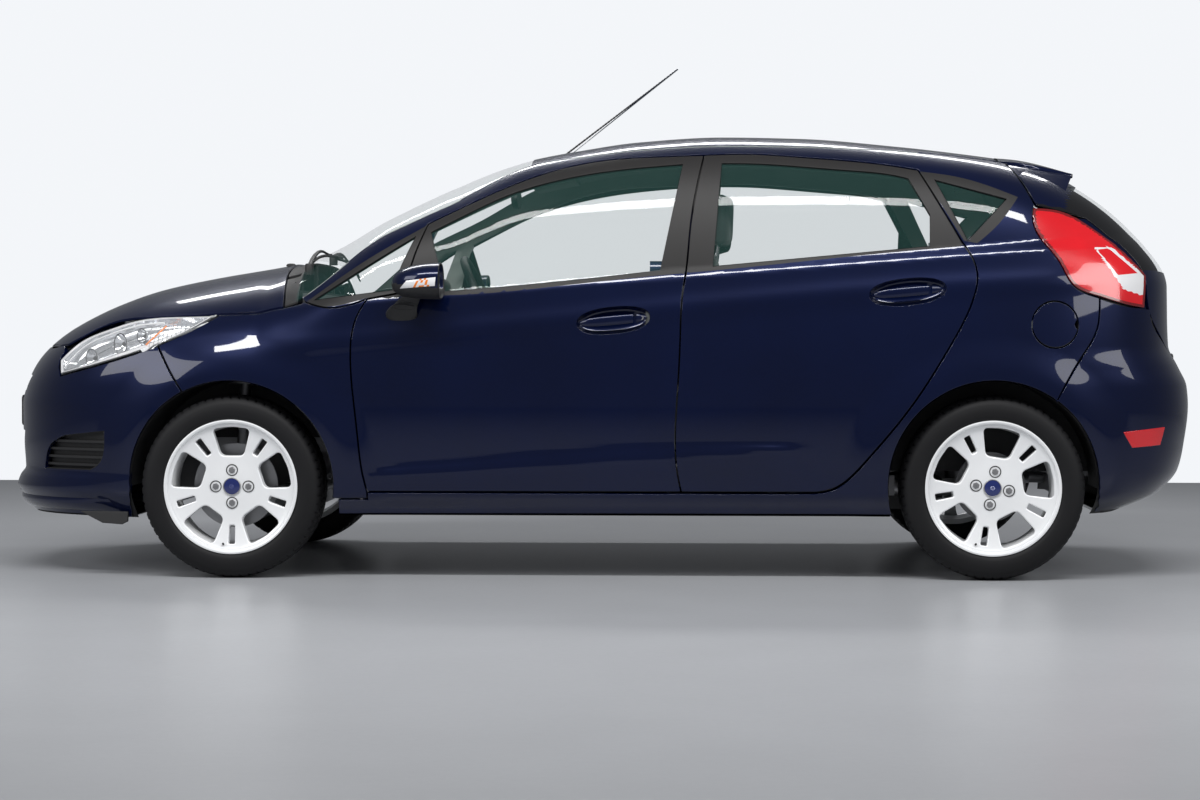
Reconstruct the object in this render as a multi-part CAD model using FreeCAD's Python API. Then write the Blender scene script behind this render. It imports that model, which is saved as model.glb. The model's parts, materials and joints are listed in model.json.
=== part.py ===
import FreeCAD, Part
import math
import os

# Hatchback car, five doors. Front towards -X, the car's left towards -Y, +Z up.
# The origin is on the ground, under the middle of the length and of the width.

V = FreeCAD.Vector

# Whole car
length = 4056.0
body_width = 1722.0
height = 1476.0
wheelbase = 2489.0
front_overhang = 862.0
track_front = 1463.0
track_rear = 1448.0

# Wheels
tyre_diameter = 601.0
tyre_width = 195.0
rim_diameter = 441.0
rim_width = 184.0
bolt_circle = 108.0
bolt_count = 4
bolt_hole_radius = 6.5
hub_bore_radius = 31.7
spoke_count = 5
brake_disc_radius = 139.0
brake_drum_radius = 112.0

# Body shell
belt_height = 905.0
sill_height = 208.0
arch_radius = 340.0
arch_flare = 15.0
flare_reach = 130.0
swage_depth = 7.0
wedge_depth = 9.0
wall = 85.0
door_wall = 75.0
door_skin = 6.0
door_seat = 26.0
door_lap = 32.0
panel_skin = 5.0
bumper_skin = 6.0
glass = 4.5
glass_depth = 9.0
shut_gap = 5.0
roof_edge = 560.0
roof_wall = 34.0
window_bar = 14.0

# Opening parts
door_hinge_y = 818.0
front_hinge_offset = 476.0
rear_hinge_offset = 1531.0
front_hinge_heights = (400.0, 800.0)
rear_hinge_heights = (400.0, 780.0)
lug_thickness = 8.0
hinge_pin_radius = 5.0
hinge_barrel_radius = 9.0
hinge_height = 46.0
pin_clearance = 0.05
bonnet_hinge_offset = 191.0
bonnet_hinge_y = 560.0
bonnet_hinge_z = 985.0
gate_gap = 7.0
gate_shoulder = 511.0
gate_hinge_set = 40.0
gate_barrel = 20.0
gate_pin_radius = 4.0
gate_wall = 40.0
spoiler_reach = 275.0
spoiler_half = 505.0
fin_top = 1372.0
fin_foot = 1230.0
tailgate_hinge_places = (-300.0, 300.0)
flap_gap = 4.0
flap_skin = 3.0
flap_hinge_set = 2.0
flap_barrel_radius = 2.2
flap_pin_radius = 1.1
flap_knuckle = 22.0
filler_depth = 55.0
floor_thickness = 22.0
floor_half = 654.7
liner = 6.0
well_set = 12.0
front_well_inner = 476.0
rear_well_inner = 562.0
tower_half_x = 74.0
tower_half_y = 78.0
tower_shift = 9.0
top_ball = 16.0
foot_ball = 13.0
flap_radius = 74.0
flap_x = 198.0
flap_z = 832.0
filler_radius = 26.0

mirror_length = 162.0
mirror_width = 192.0
mirror_height = 122.0

# Steering and suspension
kingpin_top = (16.0, 565.0, 845.0)
kingpin_foot = (-6.0, 672.0, 190.0)
strut_radius = 19.0
spring_radius = 52.0
steering_wheel_radius = 185.0
column_tilt = 25.0
column_radius = 12.0
running_gap = 0.3
seat_gap = 0.3
seam_lip = 1.2
screen_set = 2.0
cowl_set = 9.0
lamp_overlap = 1.6
lamp_drop = 5.0
wing_drop = 5.5
screen_seat = 0.8
grille_seat = 0.6
through = 700.0
fin_wall = 16.0
fin_set = 1.0

# Places worked out from the sizes above
nose_x = -length / 2
tail_x = length / 2
front_axle_x = nose_x + front_overhang
rear_axle_x = front_axle_x + wheelbase
wheel_z = tyre_diameter / 2
half_width = body_width / 2
front_hinge_x = front_axle_x + front_hinge_offset
rear_hinge_x = front_axle_x + rear_hinge_offset
bonnet_hinge_x = front_axle_x + bonnet_hinge_offset
gate_front_x = rear_axle_x + 43
tailgate_hinge_x = gate_front_x + gate_hinge_set
tailgate_hinge_z = height - 92
flap_hinge_x = rear_axle_x + flap_x - flap_radius - flap_gap / 2


def fx(distance):
    return front_axle_x + distance


def rx(distance):
    return rear_axle_x + distance


def clamp(t):
    return min(1.0, max(0.0, t))


def ease(t):
    t = clamp(t)
    return t * t * (3 - 2 * t)


def along(points, x):
    """Height of a smooth line through a few points, with no overshoot between them."""
    last = len(points) - 1
    i = 0
    while i < last - 1 and x > points[i + 1][0]:
        i += 1

    def chord(j):
        (xa, ya), (xb, yb) = points[j], points[j + 1]
        return (yb - ya) / (xb - xa)

    def slope(j):
        if j == 0:
            return chord(0)
        if j == last:
            return chord(last - 1)
        before = chord(j - 1)
        after = chord(j)
        if before * after <= 0:
            return 0.0
        return 2 * before * after / (before + after)

    (xa, ya), (xb, yb) = points[i], points[i + 1]
    step = xb - xa
    t = (x - xa) / step
    if t < 0:
        return ya + slope(i) * (x - xa)
    if t > 1:
        return yb + slope(i + 1) * (x - xb)
    start = (2 * t ** 3 - 3 * t ** 2 + 1) * ya + (t ** 3 - 2 * t ** 2 + t) * slope(i) * step
    end = (3 * t ** 2 - 2 * t ** 3) * yb + (t ** 3 - t ** 2) * slope(i + 1) * step
    return start + end


# Body surface. The middle line of the bonnet, windscreen and roof, as (x, z).
top_line = [
    (nose_x + 53, 690), (nose_x + 93, 737), (nose_x + 166, 795), (nose_x + 239, 841),
    (nose_x + 384, 910), (nose_x + 529, 960), (fx(-152), 999), (fx(66), 1036), (fx(136), 1049),
    (fx(181), 1057), (fx(295), 1106), (fx(473), 1199), (fx(686), 1303), (fx(828), height - 117),
    (fx(970), height - 76), (fx(1126), height - 46), (fx(1331), height - 16), (fx(1603), height),
    (rx(-614), height - 6), (rx(-276), height - 36), (rx(28), height - 72), (rx(177), height - 88),
    (rx(777), height - 96)]
# The nose and the tail on the middle plane, as (z, x).
nose_line = [
    (150, nose_x + 98), (250, nose_x + 18), (285, nose_x), (315, nose_x + 10), (345, nose_x + 30),
    (450, nose_x + 23), (560, nose_x + 22), (620, nose_x + 35), (680, nose_x + 54), (760, nose_x + 73),
    (1000, nose_x + 98)]
tail_line = [
    (150, tail_x - 388), (210, tail_x - 243), (271, tail_x - 103), (349, tail_x - 33),
    (427, tail_x - 15), (560, tail_x), (625, tail_x - 5), (692, tail_x - 35), (763, tail_x - 68),
    (860, tail_x - 71), (960, tail_x - 71), (1010, tail_x - 82), (1098, tail_x - 142),
    (1198, tail_x - 238), (height - 186, tail_x - 360), (height - 91, tail_x - 528),
    (height + 4, tail_x - 698)]
front_corner_x = fx(266)
rear_corner_x = rx(-423)
steering_centre = (fx(800), -360, 900)


def belt(x):
    """The waist under the side windows rises towards the tail."""
    return belt_height + 0.078 * (x - fx(238))


def swage(x):
    """The crease that runs through the door handles."""
    return along([(fx(266), 768), (fx(726), 811), (fx(1474), 886), (rx(-403), 940), (rx(277), 978)], x)


def wedge(x, z):
    """The hollow low on the doors: a ledge on top that fades out below."""
    upper = along([(fx(446), 345), (fx(562), 378), (fx(726), 392), (fx(1052), 425), (fx(1539), 452),
                   (fx(1926), 452)], x)
    lower = along([(fx(446), 340), (fx(726), 352), (fx(1052), 372), (fx(1539), 405), (fx(1926), 446)], x)
    fade = ease((x - fx(436)) / 120) * ease((fx(1946) - x) / 200)
    ledge = ease((upper - z) / max(14.0, upper - lower))
    return wedge_depth * fade * (ledge - ease((lower - z) / 130))


def side(x, z):
    """Half width of the body at a length and a height; -1 outside the body."""
    top = along(top_line, x)
    if z >= top:
        return -1.0
    w = half_width - 13 - 12 * ((x - fx(1266)) / 1500) ** 2
    if z > 620:
        w -= 36 * ((z - 620) / 350) ** 2
    else:
        w -= 22 * ((z - 620) / 350) ** 2
        w -= 22 * ease((285 - z) / 80)
    w -= 10 * ease((z - belt(x) + 25) / 45) * ease((x - fx(16)) / 250)
    for axle in (front_axle_x, rear_axle_x):
        r = math.hypot(x - axle, z - wheel_z)
        w += arch_flare * (1 - ease((r - arch_radius - 30) / flare_reach))
    reach = abs(z - swage(x)) / 38
    w += swage_depth * math.exp(-reach * reach) * ease((x - fx(16)) / 250) * ease((rx(427) - x) / 250)
    w += wedge(x, z)
    cabin = ease((x - fx(66)) / 450)
    shoulder = 600 + (belt(x) - 660) * cabin
    power = 3 + 3 * cabin - 1.8 * ease((x - fx(100)) / 300) * ease((fx(1000) - x) / 300)
    if z > shoulder:
        w *= (1 - ((z - shoulder) / (top - shoulder)) ** power) ** (1 / power)
    if x < front_corner_x:
        q = (front_corner_x - x) / (front_corner_x - along(nose_line, z))
        if q >= 1:
            return -1.0
        w *= (1 - q ** 3) ** (1 / 3)
    if x > rear_corner_x:
        q = (x - rear_corner_x) / (along(tail_line, z) - rear_corner_x)
        if q >= 1 or q < 0:
            return -1.0
        w *= (1 - q ** 4.5) ** (1 / 4.5)
    return w


flap_hinge_y = side(flap_hinge_x, flap_z) - flap_hinge_set


def crown(x, y):
    """Height of the body over a point of the plan."""
    low = 560.0
    high = along(top_line, x)
    for _ in range(40):
        mid = (low + high) / 2
        if side(x, mid) > abs(y):
            low = mid
        else:
            high = mid
    return low


def plan_row(x_start, z, count):
    """Evenly spaced points round the nose or tail at one height, from left to right."""
    inside = x_start
    outside = nose_x - 50 if x_start < 0 else tail_x + 50
    for _ in range(50):
        mid = (inside + outside) / 2
        if side(mid, z) > 0:
            inside = mid
        else:
            outside = mid
    fine = []
    for i in range(121):
        x = x_start + (inside - x_start) * math.sin(math.pi / 2 * i / 120)
        fine.append((x, max(0.0, side(x, z)) if i < 120 else 0.0))
    lengths = [0.0]
    for (xa, ya), (xb, yb) in zip(fine, fine[1:]):
        lengths.append(lengths[-1] + math.hypot(xb - xa, yb - ya))
    half = []
    j = 0
    for i in range(count + 1):
        want = lengths[-1] * i / count
        while j < 119 and lengths[j + 1] < want:
            j += 1
        t = (want - lengths[j]) / (lengths[j + 1] - lengths[j])
        half.append((fine[j][0] + t * (fine[j + 1][0] - fine[j][0]),
                     fine[j][1] + t * (fine[j + 1][1] - fine[j][1])))
    left = [(x, -y) for x, y in half]
    right = [(x, y) for x, y in reversed(half[:-1])]
    return left + right


def steps(start, end, count):
    return [start + (end - start) * i / count for i in range(count + 1)]


def spline_poles(points):
    """Poles of the even cubic B-spline that passes through a run of points."""
    last = len(points) - 1
    rows = [(0.0, 1.0, -1.0, points[0] - points[1])]
    rows += [(1.0, 4.0, 1.0, p * 6) for p in points[1:-1]]
    rows.append((-1.0, 1.0, 0.0, points[last] - points[last - 1]))
    sweep = []
    for low, middle, high, value in rows:
        if sweep:
            ratio, carried = sweep[-1]
            middle -= low * ratio
            value = value - carried * low
        sweep.append((high / middle, value * (1 / middle)))
    poles = [sweep[-1][1]]
    for ratio, value in reversed(sweep[:-1]):
        poles.append(value - poles[-1] * ratio)
    poles.reverse()
    before = poles[0] * 3 - poles[1] * 3 + poles[2]
    after = poles[-1] * 3 - poles[-2] * 3 + poles[-3]
    return [before] + poles + [after]


def smooth_face(rows):
    """Face through a grid of points."""
    across = [spline_poles([V(*p) for p in row]) for row in rows]
    columns = [spline_poles(list(column)) for column in zip(*across)]
    poles = [list(row) for row in zip(*columns)]
    nu = len(rows) - 1
    nv = len(rows[0]) - 1
    knots_u = list(range(-3, nu + 4))
    knots_v = list(range(-3, nv + 4))
    surface = Part.BSplineSurface()
    surface.buildFromPolesMultsKnots(poles, [1] * len(knots_u), [1] * len(knots_v), knots_u, knots_v,
                                     False, False, 3, 3)
    surface.segment(0, nu, 0, nv)
    return surface.toShape()


def thick(outer, inner):
    """Solid between two grids of points."""
    skins = [smooth_face(outer), smooth_face(inner)]
    faces = list(skins)
    for a, b in zip(skins[0].Edges, skins[1].Edges):
        faces.append(Part.makeRuledSurface(a, b))
    shell = Part.makeShell(faces)
    shell.sewShape()
    solid = Part.makeSolid(shell)
    if solid.Volume < 0:
        solid.reverse()
    return solid


def side_layer(x_from, x_to, low, high, depth_out, depth_in, nx=20, nz=10):
    """Layer of the left side wall between two depths, from a low line to a high line."""
    outer = []
    inner = []
    for x in steps(x_from, x_to, nx):
        out_row = []
        in_row = []
        z_low = low(x)
        z_high = high(x)
        for t in steps(0, 1, nz):
            z = z_low + (z_high - z_low) * math.sin(math.pi / 2 * t) ** 0.9
            w = side(x, z)
            out_row.append((x, -(w - depth_out), z))
            in_row.append((x, -(w - depth_in), z))
        outer.append(out_row)
        inner.append(in_row)
    return thick(outer, inner)


def top_layer(x_from, x_to, edge, depth_out, depth_in, nx=12, ny=12):
    """Layer of the bonnet, windscreen or roof between two depths."""
    outer = []
    inner = []
    for x in steps(x_from, x_to, nx):
        limit = edge(x)
        ys = [limit * math.sin(math.pi / 2 * t) for t in steps(-1, 1, ny)]
        zs = [crown(x, y) for y in ys]
        outer.append([(x, y, z - depth_out) for y, z in zip(ys, zs)])
        inner.append([(x, y, z - depth_in) for y, z in zip(ys, zs)])
    return thick(outer, inner)


def end_layer(x_start, heights, depth_out, depth_in, count=12):
    """Layer round the nose or the tail between two depths, over a list of heights."""
    outer = []
    inner = []
    for z in heights:
        row = plan_row(x_start(z), z, count)
        out_row = []
        in_row = []
        for i, (x, y) in enumerate(row):
            xa, ya = row[max(0, i - 1)]
            xb, yb = row[min(len(row) - 1, i + 1)]
            run = math.hypot(xb - xa, yb - ya)
            turn = 1 if x_start(z) < 0 else -1
            nx = turn * (yb - ya) / run
            ny = -turn * (xb - xa) / run
            out_row.append((x + nx * depth_out, y + ny * depth_out, z))
            in_row.append((x + nx * depth_in, y + ny * depth_in, z))
        outer.append(out_row)
        inner.append(in_row)
    return thick(outer, inner)


def grown(pieces, grow):
    """Move a closed outline, given as joined runs of points, outwards by a distance."""
    flat = []
    for run in pieces:
        flat.extend(run[:-1])
    area = sum(a[0] * b[1] - b[0] * a[1] for a, b in zip(flat, flat[1:] + flat[:1]))
    turn = 1 if area > 0 else -1
    moved = []
    count = len(flat)
    for i in range(count):
        before, here, after = flat[i - 1], flat[i], flat[(i + 1) % count]
        normals = []
        for a, b in ((before, here), (here, after)):
            run = math.hypot(b[0] - a[0], b[1] - a[1])
            normals.append((turn * (b[1] - a[1]) / run, -turn * (b[0] - a[0]) / run))
        (ax, ay), (bx, by) = normals
        share = grow / max(0.35, 1 + ax * bx + ay * by)
        moved.append((here[0] + (ax + bx) * share, here[1] + (ay + by) * share))
    result = []
    i = 0
    for run in pieces:
        size = len(run) - 1
        result.append([moved[(i + j) % count] for j in range(size + 1)])
        i += size
    return result


def outline(pieces, place):
    edges = []
    for run in pieces:
        points = [place(*p) for p in run]
        if len(points) == 2:
            edges.append(Part.makeLine(points[0], points[1]))
        else:
            curve = Part.BSplineCurve()
            curve.interpolate(points)
            edges.append(curve.toShape())
    return Part.Face(Part.Wire(edges))


def side_prism(pieces, grow=0.0, y_from=-1200.0, y_to=0.0):
    face = outline(grown(pieces, grow), lambda x, z: V(x, y_from, z))
    return face.extrude(V(0, y_to - y_from, 0))


def plan_prism(pieces, grow=0.0, z_from=0.0, z_to=1700.0):
    face = outline(grown(pieces, grow), lambda x, y: V(x, y, z_from))
    return face.extrude(V(0, 0, z_to - z_from))


def end_prism(pieces, grow=0.0, x_from=1000.0, x_to=2400.0):
    face = outline(grown(pieces, grow), lambda y, z: V(x_from, y, z))
    return face.extrude(V(x_to - x_from, 0, 0))


def box(x0, x1, y0, y1, z0, z1):
    return Part.makeBox(x1 - x0, y1 - y0, z1 - z0, V(x0, y0, z0))


def rod(start, end, radius):
    a = V(*start)
    b = V(*end)
    return Part.makeCylinder(radius, (b - a).Length, a, b - a)


def path_rod(points, radius):
    """Round bar through points, with a ball at each bend."""
    solid = rod(points[0], points[1], radius)
    for a, b in zip(points[1:], points[2:]):
        solid = solid.fuse(Part.makeSphere(radius, V(*a)))
        solid = solid.fuse(rod(a, b, radius))
    return solid


def mirrored(shape):
    return shape.mirror(V(0, 0, 0), V(0, 1, 0))


def both(shape):
    return Part.makeCompound([shape, mirrored(shape)])


def straight(points):
    """Closed outline of straight runs."""
    return [[a, b] for a, b in zip(points, points[1:] + points[:1])]


def revolve(points, axis_point, axis):
    """Solid turned from a profile of (radius, along) points about an axis along +Y or -Y."""
    base = V(*axis_point)
    rise = V(*axis)
    wire = Part.makePolygon([base + V(0, 0, r) + rise * a for r, a in points + points[:1]])
    return Part.Face(wire).revolve(base, rise, 360)


# Shut lines of the left side, as (x, z) read from the front or the rear axle.
door_front_edge = [
    (fx(451), 285), (fx(436), 350), (fx(423), 456), (fx(407), 600), (fx(401), 782), (fx(416), 854),
    (fx(451), 916)]
triangle_foot = [(fx(451), 916), (fx(574), 939)]
triangle_back = [(fx(574), 939), (fx(595), 1037), (fx(640), height - 310)]
frame_top_front = [
    (fx(640), height - 310), (fx(875), height - 198), (fx(1038), height - 136),
    (fx(1204), height - 98), (fx(1370), height - 86), (fx(1550), height - 80)]
middle_edge = [
    (fx(1550), height - 80), (fx(1505), 1142), (fx(1492), 1003), (fx(1483), 945), (fx(1474), 782),
    (fx(1464), 588), (fx(1466), 345), (fx(1478), 285)]
door_foot_front = [(fx(1478), 285), (fx(451), 285)]
front_door_line = [door_front_edge, triangle_foot, triangle_back, frame_top_front, middle_edge,
                   door_foot_front]

frame_top_rear = [
    (fx(1550), height - 80), (rx(-787), height - 77), (rx(-621), height - 88), (rx(-456), height - 102),
    (rx(-293), height - 123), (rx(-234), height - 134)]
quarter_edge = [(rx(-234), height - 134), (rx(-99), 1101)]
wheel_edge = [
    (rx(-99), 1101), (rx(-54), 1009), (rx(-68), 912), (rx(-144), 760), (rx(-304), 520), (rx(-400), 405),
    (rx(-464), 335), (rx(-513), 300), (rx(-574), 285)]
door_foot_rear = [(rx(-574), 285), (fx(1478), 285)]
rear_door_line = [list(reversed(middle_edge)), frame_top_rear, quarter_edge, wheel_edge, door_foot_rear]

front_window = [
    [(fx(652), 1139), (fx(778), height - 272), (fx(877), height - 225), (fx(1041), height - 171),
     (fx(1206), height - 138), (fx(1480), height - 111)],
    [(fx(1480), height - 111), (fx(1408), 1010)],
    [(fx(1408), 1010), (fx(1080), 974), (fx(706), 942)],
    [(fx(706), 942), (fx(652), 1139)]]
rear_window = [
    [(rx(-880), height - 108), (rx(-787), height - 109), (rx(-622), height - 120),
     (rx(-458), height - 134), (rx(-294), height - 155), (rx(-268), height - 162)],
    [(rx(-268), height - 162), (rx(-201), 1190)],
    [(rx(-201), 1190), (rx(-203), 1088)],
    [(rx(-203), 1088), (rx(-909), 1023)],
    [(rx(-909), 1023), (rx(-880), height - 108)]]
quarter_window = straight([(rx(-180), height - 168), (rx(50), height - 232), (rx(-80), 1107)])
triangle_window = straight([(fx(267), 913), (fx(601), 1124), (fx(560), 1030), (fx(530), 946)])

lamp_foot = [
    (fx(-55), 864), (fx(-142), 811), (fx(-275), 755), (fx(-379), 722), (fx(-489), 692), (fx(-608), 664)]
lamp_nose = [(fx(-608), 664), (fx(-618), 714)]
lamp_top = [(fx(-618), 714), (fx(-547), 775), (fx(-438), 820), (fx(-331), 850), (fx(-187), 861),
            (fx(-55), 864)]
headlamp_line = [lamp_foot, lamp_nose, lamp_top]
front_bumper_edge = [(fx(-248), 764), (fx(-200), 680), (fx(-156), 611), (fx(0), wheel_z)]
rear_bumper_edge = [(rx(0), wheel_z), (rx(205), 588), (rx(278), 717), (rx(336), 815), (rx(347), 922)]
tail_lamp_line = [
    [(rx(138), 1217), (rx(138), 1157), (rx(217), 1035), (rx(258), 961), (rx(348), 922)],
    [(rx(348), 922), (rx(440), 896), (rx(507), 885)],
    [(rx(507), 885), (rx(518), 996)],
    [(rx(518), 996), (rx(443), 1071), (rx(328), 1159), (rx(228), 1208), (rx(138), 1217)]]
hatch_line = [(rx(145), 1224), (rx(100), height - 160), (rx(56), height - 84), (rx(30), height + 40)]


def roof_side_z(x):
    """Height of the seam between the body side and the windscreen or roof."""
    return crown(x, seam(x))


def seam(x):
    """Half width of the seam in the plan: it follows the windscreen pillar, then the roof."""
    pillar = along([(fx(200), 752), (fx(320), 725), (fx(700), 640), (fx(1000), roof_edge)], x)
    roof = along([(fx(1000), roof_edge), (rx(-600), roof_edge), (rx(60), roof_edge - 55)], x)
    return pillar if x < fx(1000) else roof


def side_low(x):
    return sill_height


class Walls:
    """Side layers that several pieces are cut from, each made once."""
    made = {}

    @classmethod
    def cabin(cls, out, into):
        key = (out, into)
        if key not in cls.made:
            cls.made[key] = side_layer(fx(196), rx(345), side_low, roof_side_z, out, into, 26, 12)
        return cls.made[key].copy()


def arch_cut(axle, radius):
    base = V(axle, -half_width - 60, wheel_z + 8)
    return Part.makeCylinder(radius, half_width, base, V(0, 1, 0))


def front_door():
    door = Walls.cabin(0, door_wall).common(side_prism(front_door_line, -shut_gap / 2))
    box_front = fx(511)
    inner = [[(box_front, 325), (box_front, 872)], [(box_front, 872), (fx(566), 884), (fx(640), 935)],
             [(fx(640), 935), (fx(1362), 1022)], [(fx(1362), 1022), (fx(1362), 345)],
             [(fx(1362), 345), (fx(1340), 325)], [(fx(1340), 325), (box_front, 325)]]
    door = carved(door, inner, [(fx(560), 930), (fx(640), 946), (fx(1362), 1018), (fx(1600), 1045)])
    door = door.cut(side_prism(front_window))
    for z in front_hinge_heights:
        door = door.fuse(hinge_leaf(front_hinge_x, z, box_front + 4))
        door = door.cut(hinge_pin(front_hinge_x, z, pin_clearance))
    return door


def carved(door, inner, waist):
    """Leave a thin skin round the inner box, and thin bars round the window above the waist."""
    above = side_prism(straight(waist + [(waist[-1][0], height + 60), (waist[0][0], height + 60)]))
    below = Walls.cabin(door_skin, wall + 60).cut(side_prism(inner)).cut(above)
    bars = Walls.cabin(window_bar, wall + 60).common(above)
    return door.cut(below).cut(bars)


def hinge_pin(x, z, grow=0.0):
    half = hinge_height / 2
    return Part.makeCylinder(hinge_pin_radius + grow, hinge_height, V(x, -door_hinge_y, z - half))


def hinge_leaf(x, z, reach):
    """Barrel and leaf that carry a door on its pin."""
    tall = hinge_height - 2 * lug_thickness - 2 * running_gap
    barrel = Part.makeCylinder(hinge_barrel_radius, tall, V(x, -door_hinge_y, z - tall / 2))
    leaf = box(x, reach, -door_hinge_y - 3, -door_hinge_y + hinge_barrel_radius, z - tall / 2, z + tall / 2)
    return barrel.fuse(leaf)


def hinge_lugs(x, z, turns):
    """Two lugs with their pin. The turns are boxes as (x0, x1, y0, y1) that carry them."""
    half = hinge_height / 2
    parts = [hinge_pin(x, z)]
    for low in (z - half, z + half - lug_thickness):
        ear = Part.makeCylinder(hinge_barrel_radius, lug_thickness, V(x, -door_hinge_y, low))
        parts.append(ear)
        for x0, x1, y0, y1 in turns:
            parts.append(box(x0, x1, y0, y1, low, low + lug_thickness))
    return parts[0].fuse(parts[1:])


def rear_door():
    door = Walls.cabin(0, door_wall).common(side_prism(rear_door_line, -shut_gap / 2))
    box_front = fx(1565)
    inner = [[(box_front, 325), (box_front, 1052)], [(box_front, 1052), (rx(-150), 1116)],
             [(rx(-150), 1116), (rx(-128), 1020), (rx(-135), 920), (rx(-205), 775), (rx(-360), 540),
              (rx(-455), 425), (rx(-515), 362)],
             [(rx(-515), 362), (rx(-570), 325)], [(rx(-570), 325), (box_front, 325)]]
    door = carved(door, inner, [(fx(1400), 1028), (rx(-150), 1104), (rx(60), 1112)])
    door = door.cut(side_prism(rear_window))
    for z in rear_hinge_heights:
        door = door.fuse(hinge_leaf(rear_hinge_x, z, box_front + 4))
        door = door.cut(hinge_pin(rear_hinge_x, z, pin_clearance))
    return door


def door_glass(window):
    return Walls.cabin(glass_depth, glass_depth + glass).common(side_prism(window))


body_region = [
    [(fx(354), sill_height - 20), (rx(-223), sill_height - 20)],
    [(rx(-223), sill_height - 20), (rx(0), wheel_z)],
    rear_bumper_edge, [(rx(347), 922), (rx(320), 925)],
    [(rx(320), 925), (rx(258), 961), (rx(217), 1035), (rx(138), 1157), (rx(138), 1217)],
    [(rx(138), 1217), (rx(145), 1224)], hatch_line,
    [(rx(30), height + 40), (fx(166), height + 40)], [(fx(166), height + 40), (fx(166), 1000)],
    [(fx(166), 1000), (fx(236), 908)], [(fx(236), 908), (fx(330), 887), (fx(451), 916)],
    list(reversed(door_front_edge)),
    [(fx(451), 285), (fx(451), 262)], [(fx(451), 262), (fx(354), 262)],
    [(fx(354), 262), (fx(354), sill_height - 20)]]


def body_side():
    body = Walls.cabin(0, wall).common(side_prism(body_region, -shut_gap / 2))
    for line in (front_door_line, rear_door_line):
        body = body.cut(Walls.cabin(-30, door_seat).common(side_prism(line, shut_gap / 2)))
        body = body.cut(side_prism(line, -door_lap))
    swing = side_prism(front_door_line, shut_gap / 2)
    body = body.cut(swing.common(box(fx(300), fx(512), -1200, 0, 0, 1000)))
    body = body.cut(box(fx(1440), fx(1560), -1200, 0, 270, 960))
    body = body.cut(box(fx(1484), fx(1560), -1200, -745, 950, 1120))
    body = body.cut(side_prism(quarter_window)).cut(side_prism(triangle_window))
    body = body.cut(arch_cut(rear_axle_x, arch_radius))
    layer = Walls.cabin(door_seat, wall + 25)
    post = layer.common(box(fx(1374), fx(1444), -1200, 0, 250, 1012))
    bridge = layer.common(box(fx(1374), fx(1480), -1200, 0, 962, 1040))
    sill = box(fx(358), rx(-352), -785, -655, sill_height + 8, 300)
    sill = sill.cut(box(rear_hinge_x - 90, rear_hinge_x + 20, -800, -750, 278, 310))
    pillar = box(fx(385), fx(512), -735, -655, 240, 900)
    cheek = box(fx(226), fx(392), -775, -655, 640, 835)
    body = body.fuse([post, bridge, sill, pillar, cheek] + wing_brackets())
    front_arm = (front_hinge_x - 10, front_hinge_x + 10, -door_hinge_y, -730)
    for seat in top_seats():
        body = body.cut(seat)
    body = body.cut(box(gate_front_x - gate_gap, rx(220), -gate_shoulder, 0, 1280, height))
    body = body.cut(well_cylinder(rear_axle_x, arch_radius + liner + running_gap, rear_well_inner))
    for z in front_hinge_heights:
        body = body.fuse(hinge_lugs(front_hinge_x, z, [front_arm]))
    rear_arm = (rear_hinge_x - 8, rear_hinge_x + 8, -door_hinge_y, -740)
    rear_reach = (fx(1436), rear_hinge_x + 8, -758, -740)
    for z in rear_hinge_heights:
        body = body.fuse(hinge_lugs(rear_hinge_x, z, [rear_arm, rear_reach]))
    return body


def top_seats():
    """Room in the side for the edges of the roof, the windscreen and the cowl."""
    def edge(x):
        return seam(x) - seam_lip
    return [top_layer(fx(969), rx(60), edge, -12, roof_wall + seat_gap, 10, 12),
            top_layer(fx(192), fx(972), edge, -12, screen_set + glass + screen_seat, 10, 12),
            top_layer(fx(110), fx(238), edge, -12, cowl_set + 6 + seat_gap, 6, 12)]


def bore(x, z, radius):
    """Round cutter across the car's left half."""
    return Part.makeCylinder(radius, through, V(x, -1200, z), V(0, 1, 0))


def roof_panel():
    """Roof skin with its header rails, the tailgate's hinge lugs and the aerial."""
    roof = top_layer(fx(972), rx(43), lambda x: seam(x) - shut_gap / 2, 0, roof_wall, 10, 12)
    trim = [[(fx(900), -700), (fx(900), 700)], [(fx(900), 700), (gate_front_x - gate_gap, 700)],
            [(gate_front_x - gate_gap, 700), (gate_front_x - gate_gap, -700)],
            [(gate_front_x - gate_gap, -700), (fx(900), -700)]]
    roof = roof.common(plan_prism(trim))
    step = box(gate_front_x - 34, gate_front_x + 10, -700, 700, 1200, height)
    lip = top_layer(gate_front_x - 60, gate_front_x + 20, lambda x: 620, 5, roof_wall + 60, 4, 8)
    roof = roof.cut(step.common(lip))
    rail_top = tailgate_hinge_z - 47
    rail = box(gate_front_x - 60, gate_front_x + 55, -430, 430, rail_top - 12, rail_top)
    riser = box(gate_front_x - 60, gate_front_x - 46, -430, 430, rail_top - 12, height - 95)
    roof = roof.fuse([rail, riser])
    for y in tailgate_hinge_places:
        for s in (-1, 1):
            y0 = y + s * (gate_barrel / 2 + running_gap + 3.5) - 3.5
            ear = Part.makeCylinder(5.5, 7, V(tailgate_hinge_x, y0, tailgate_hinge_z), V(0, 1, 0))
            lug = box(tailgate_hinge_x - 5.5, tailgate_hinge_x + 5.5, y0, y0 + 7, rail_top - 2,
                      tailgate_hinge_z)
            roof = roof.fuse([ear, lug])
        roof = roof.fuse(gate_pin(y))
    foot_z = crown(fx(1030), 0)
    base = rod((fx(1016), 0, foot_z - 10), (fx(1036), 0, foot_z + 18), 13)
    mast = rod((fx(1034), 0, foot_z + 12), (fx(1454), 0, foot_z + 330), 3)
    return roof.fuse([base, mast])


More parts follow.
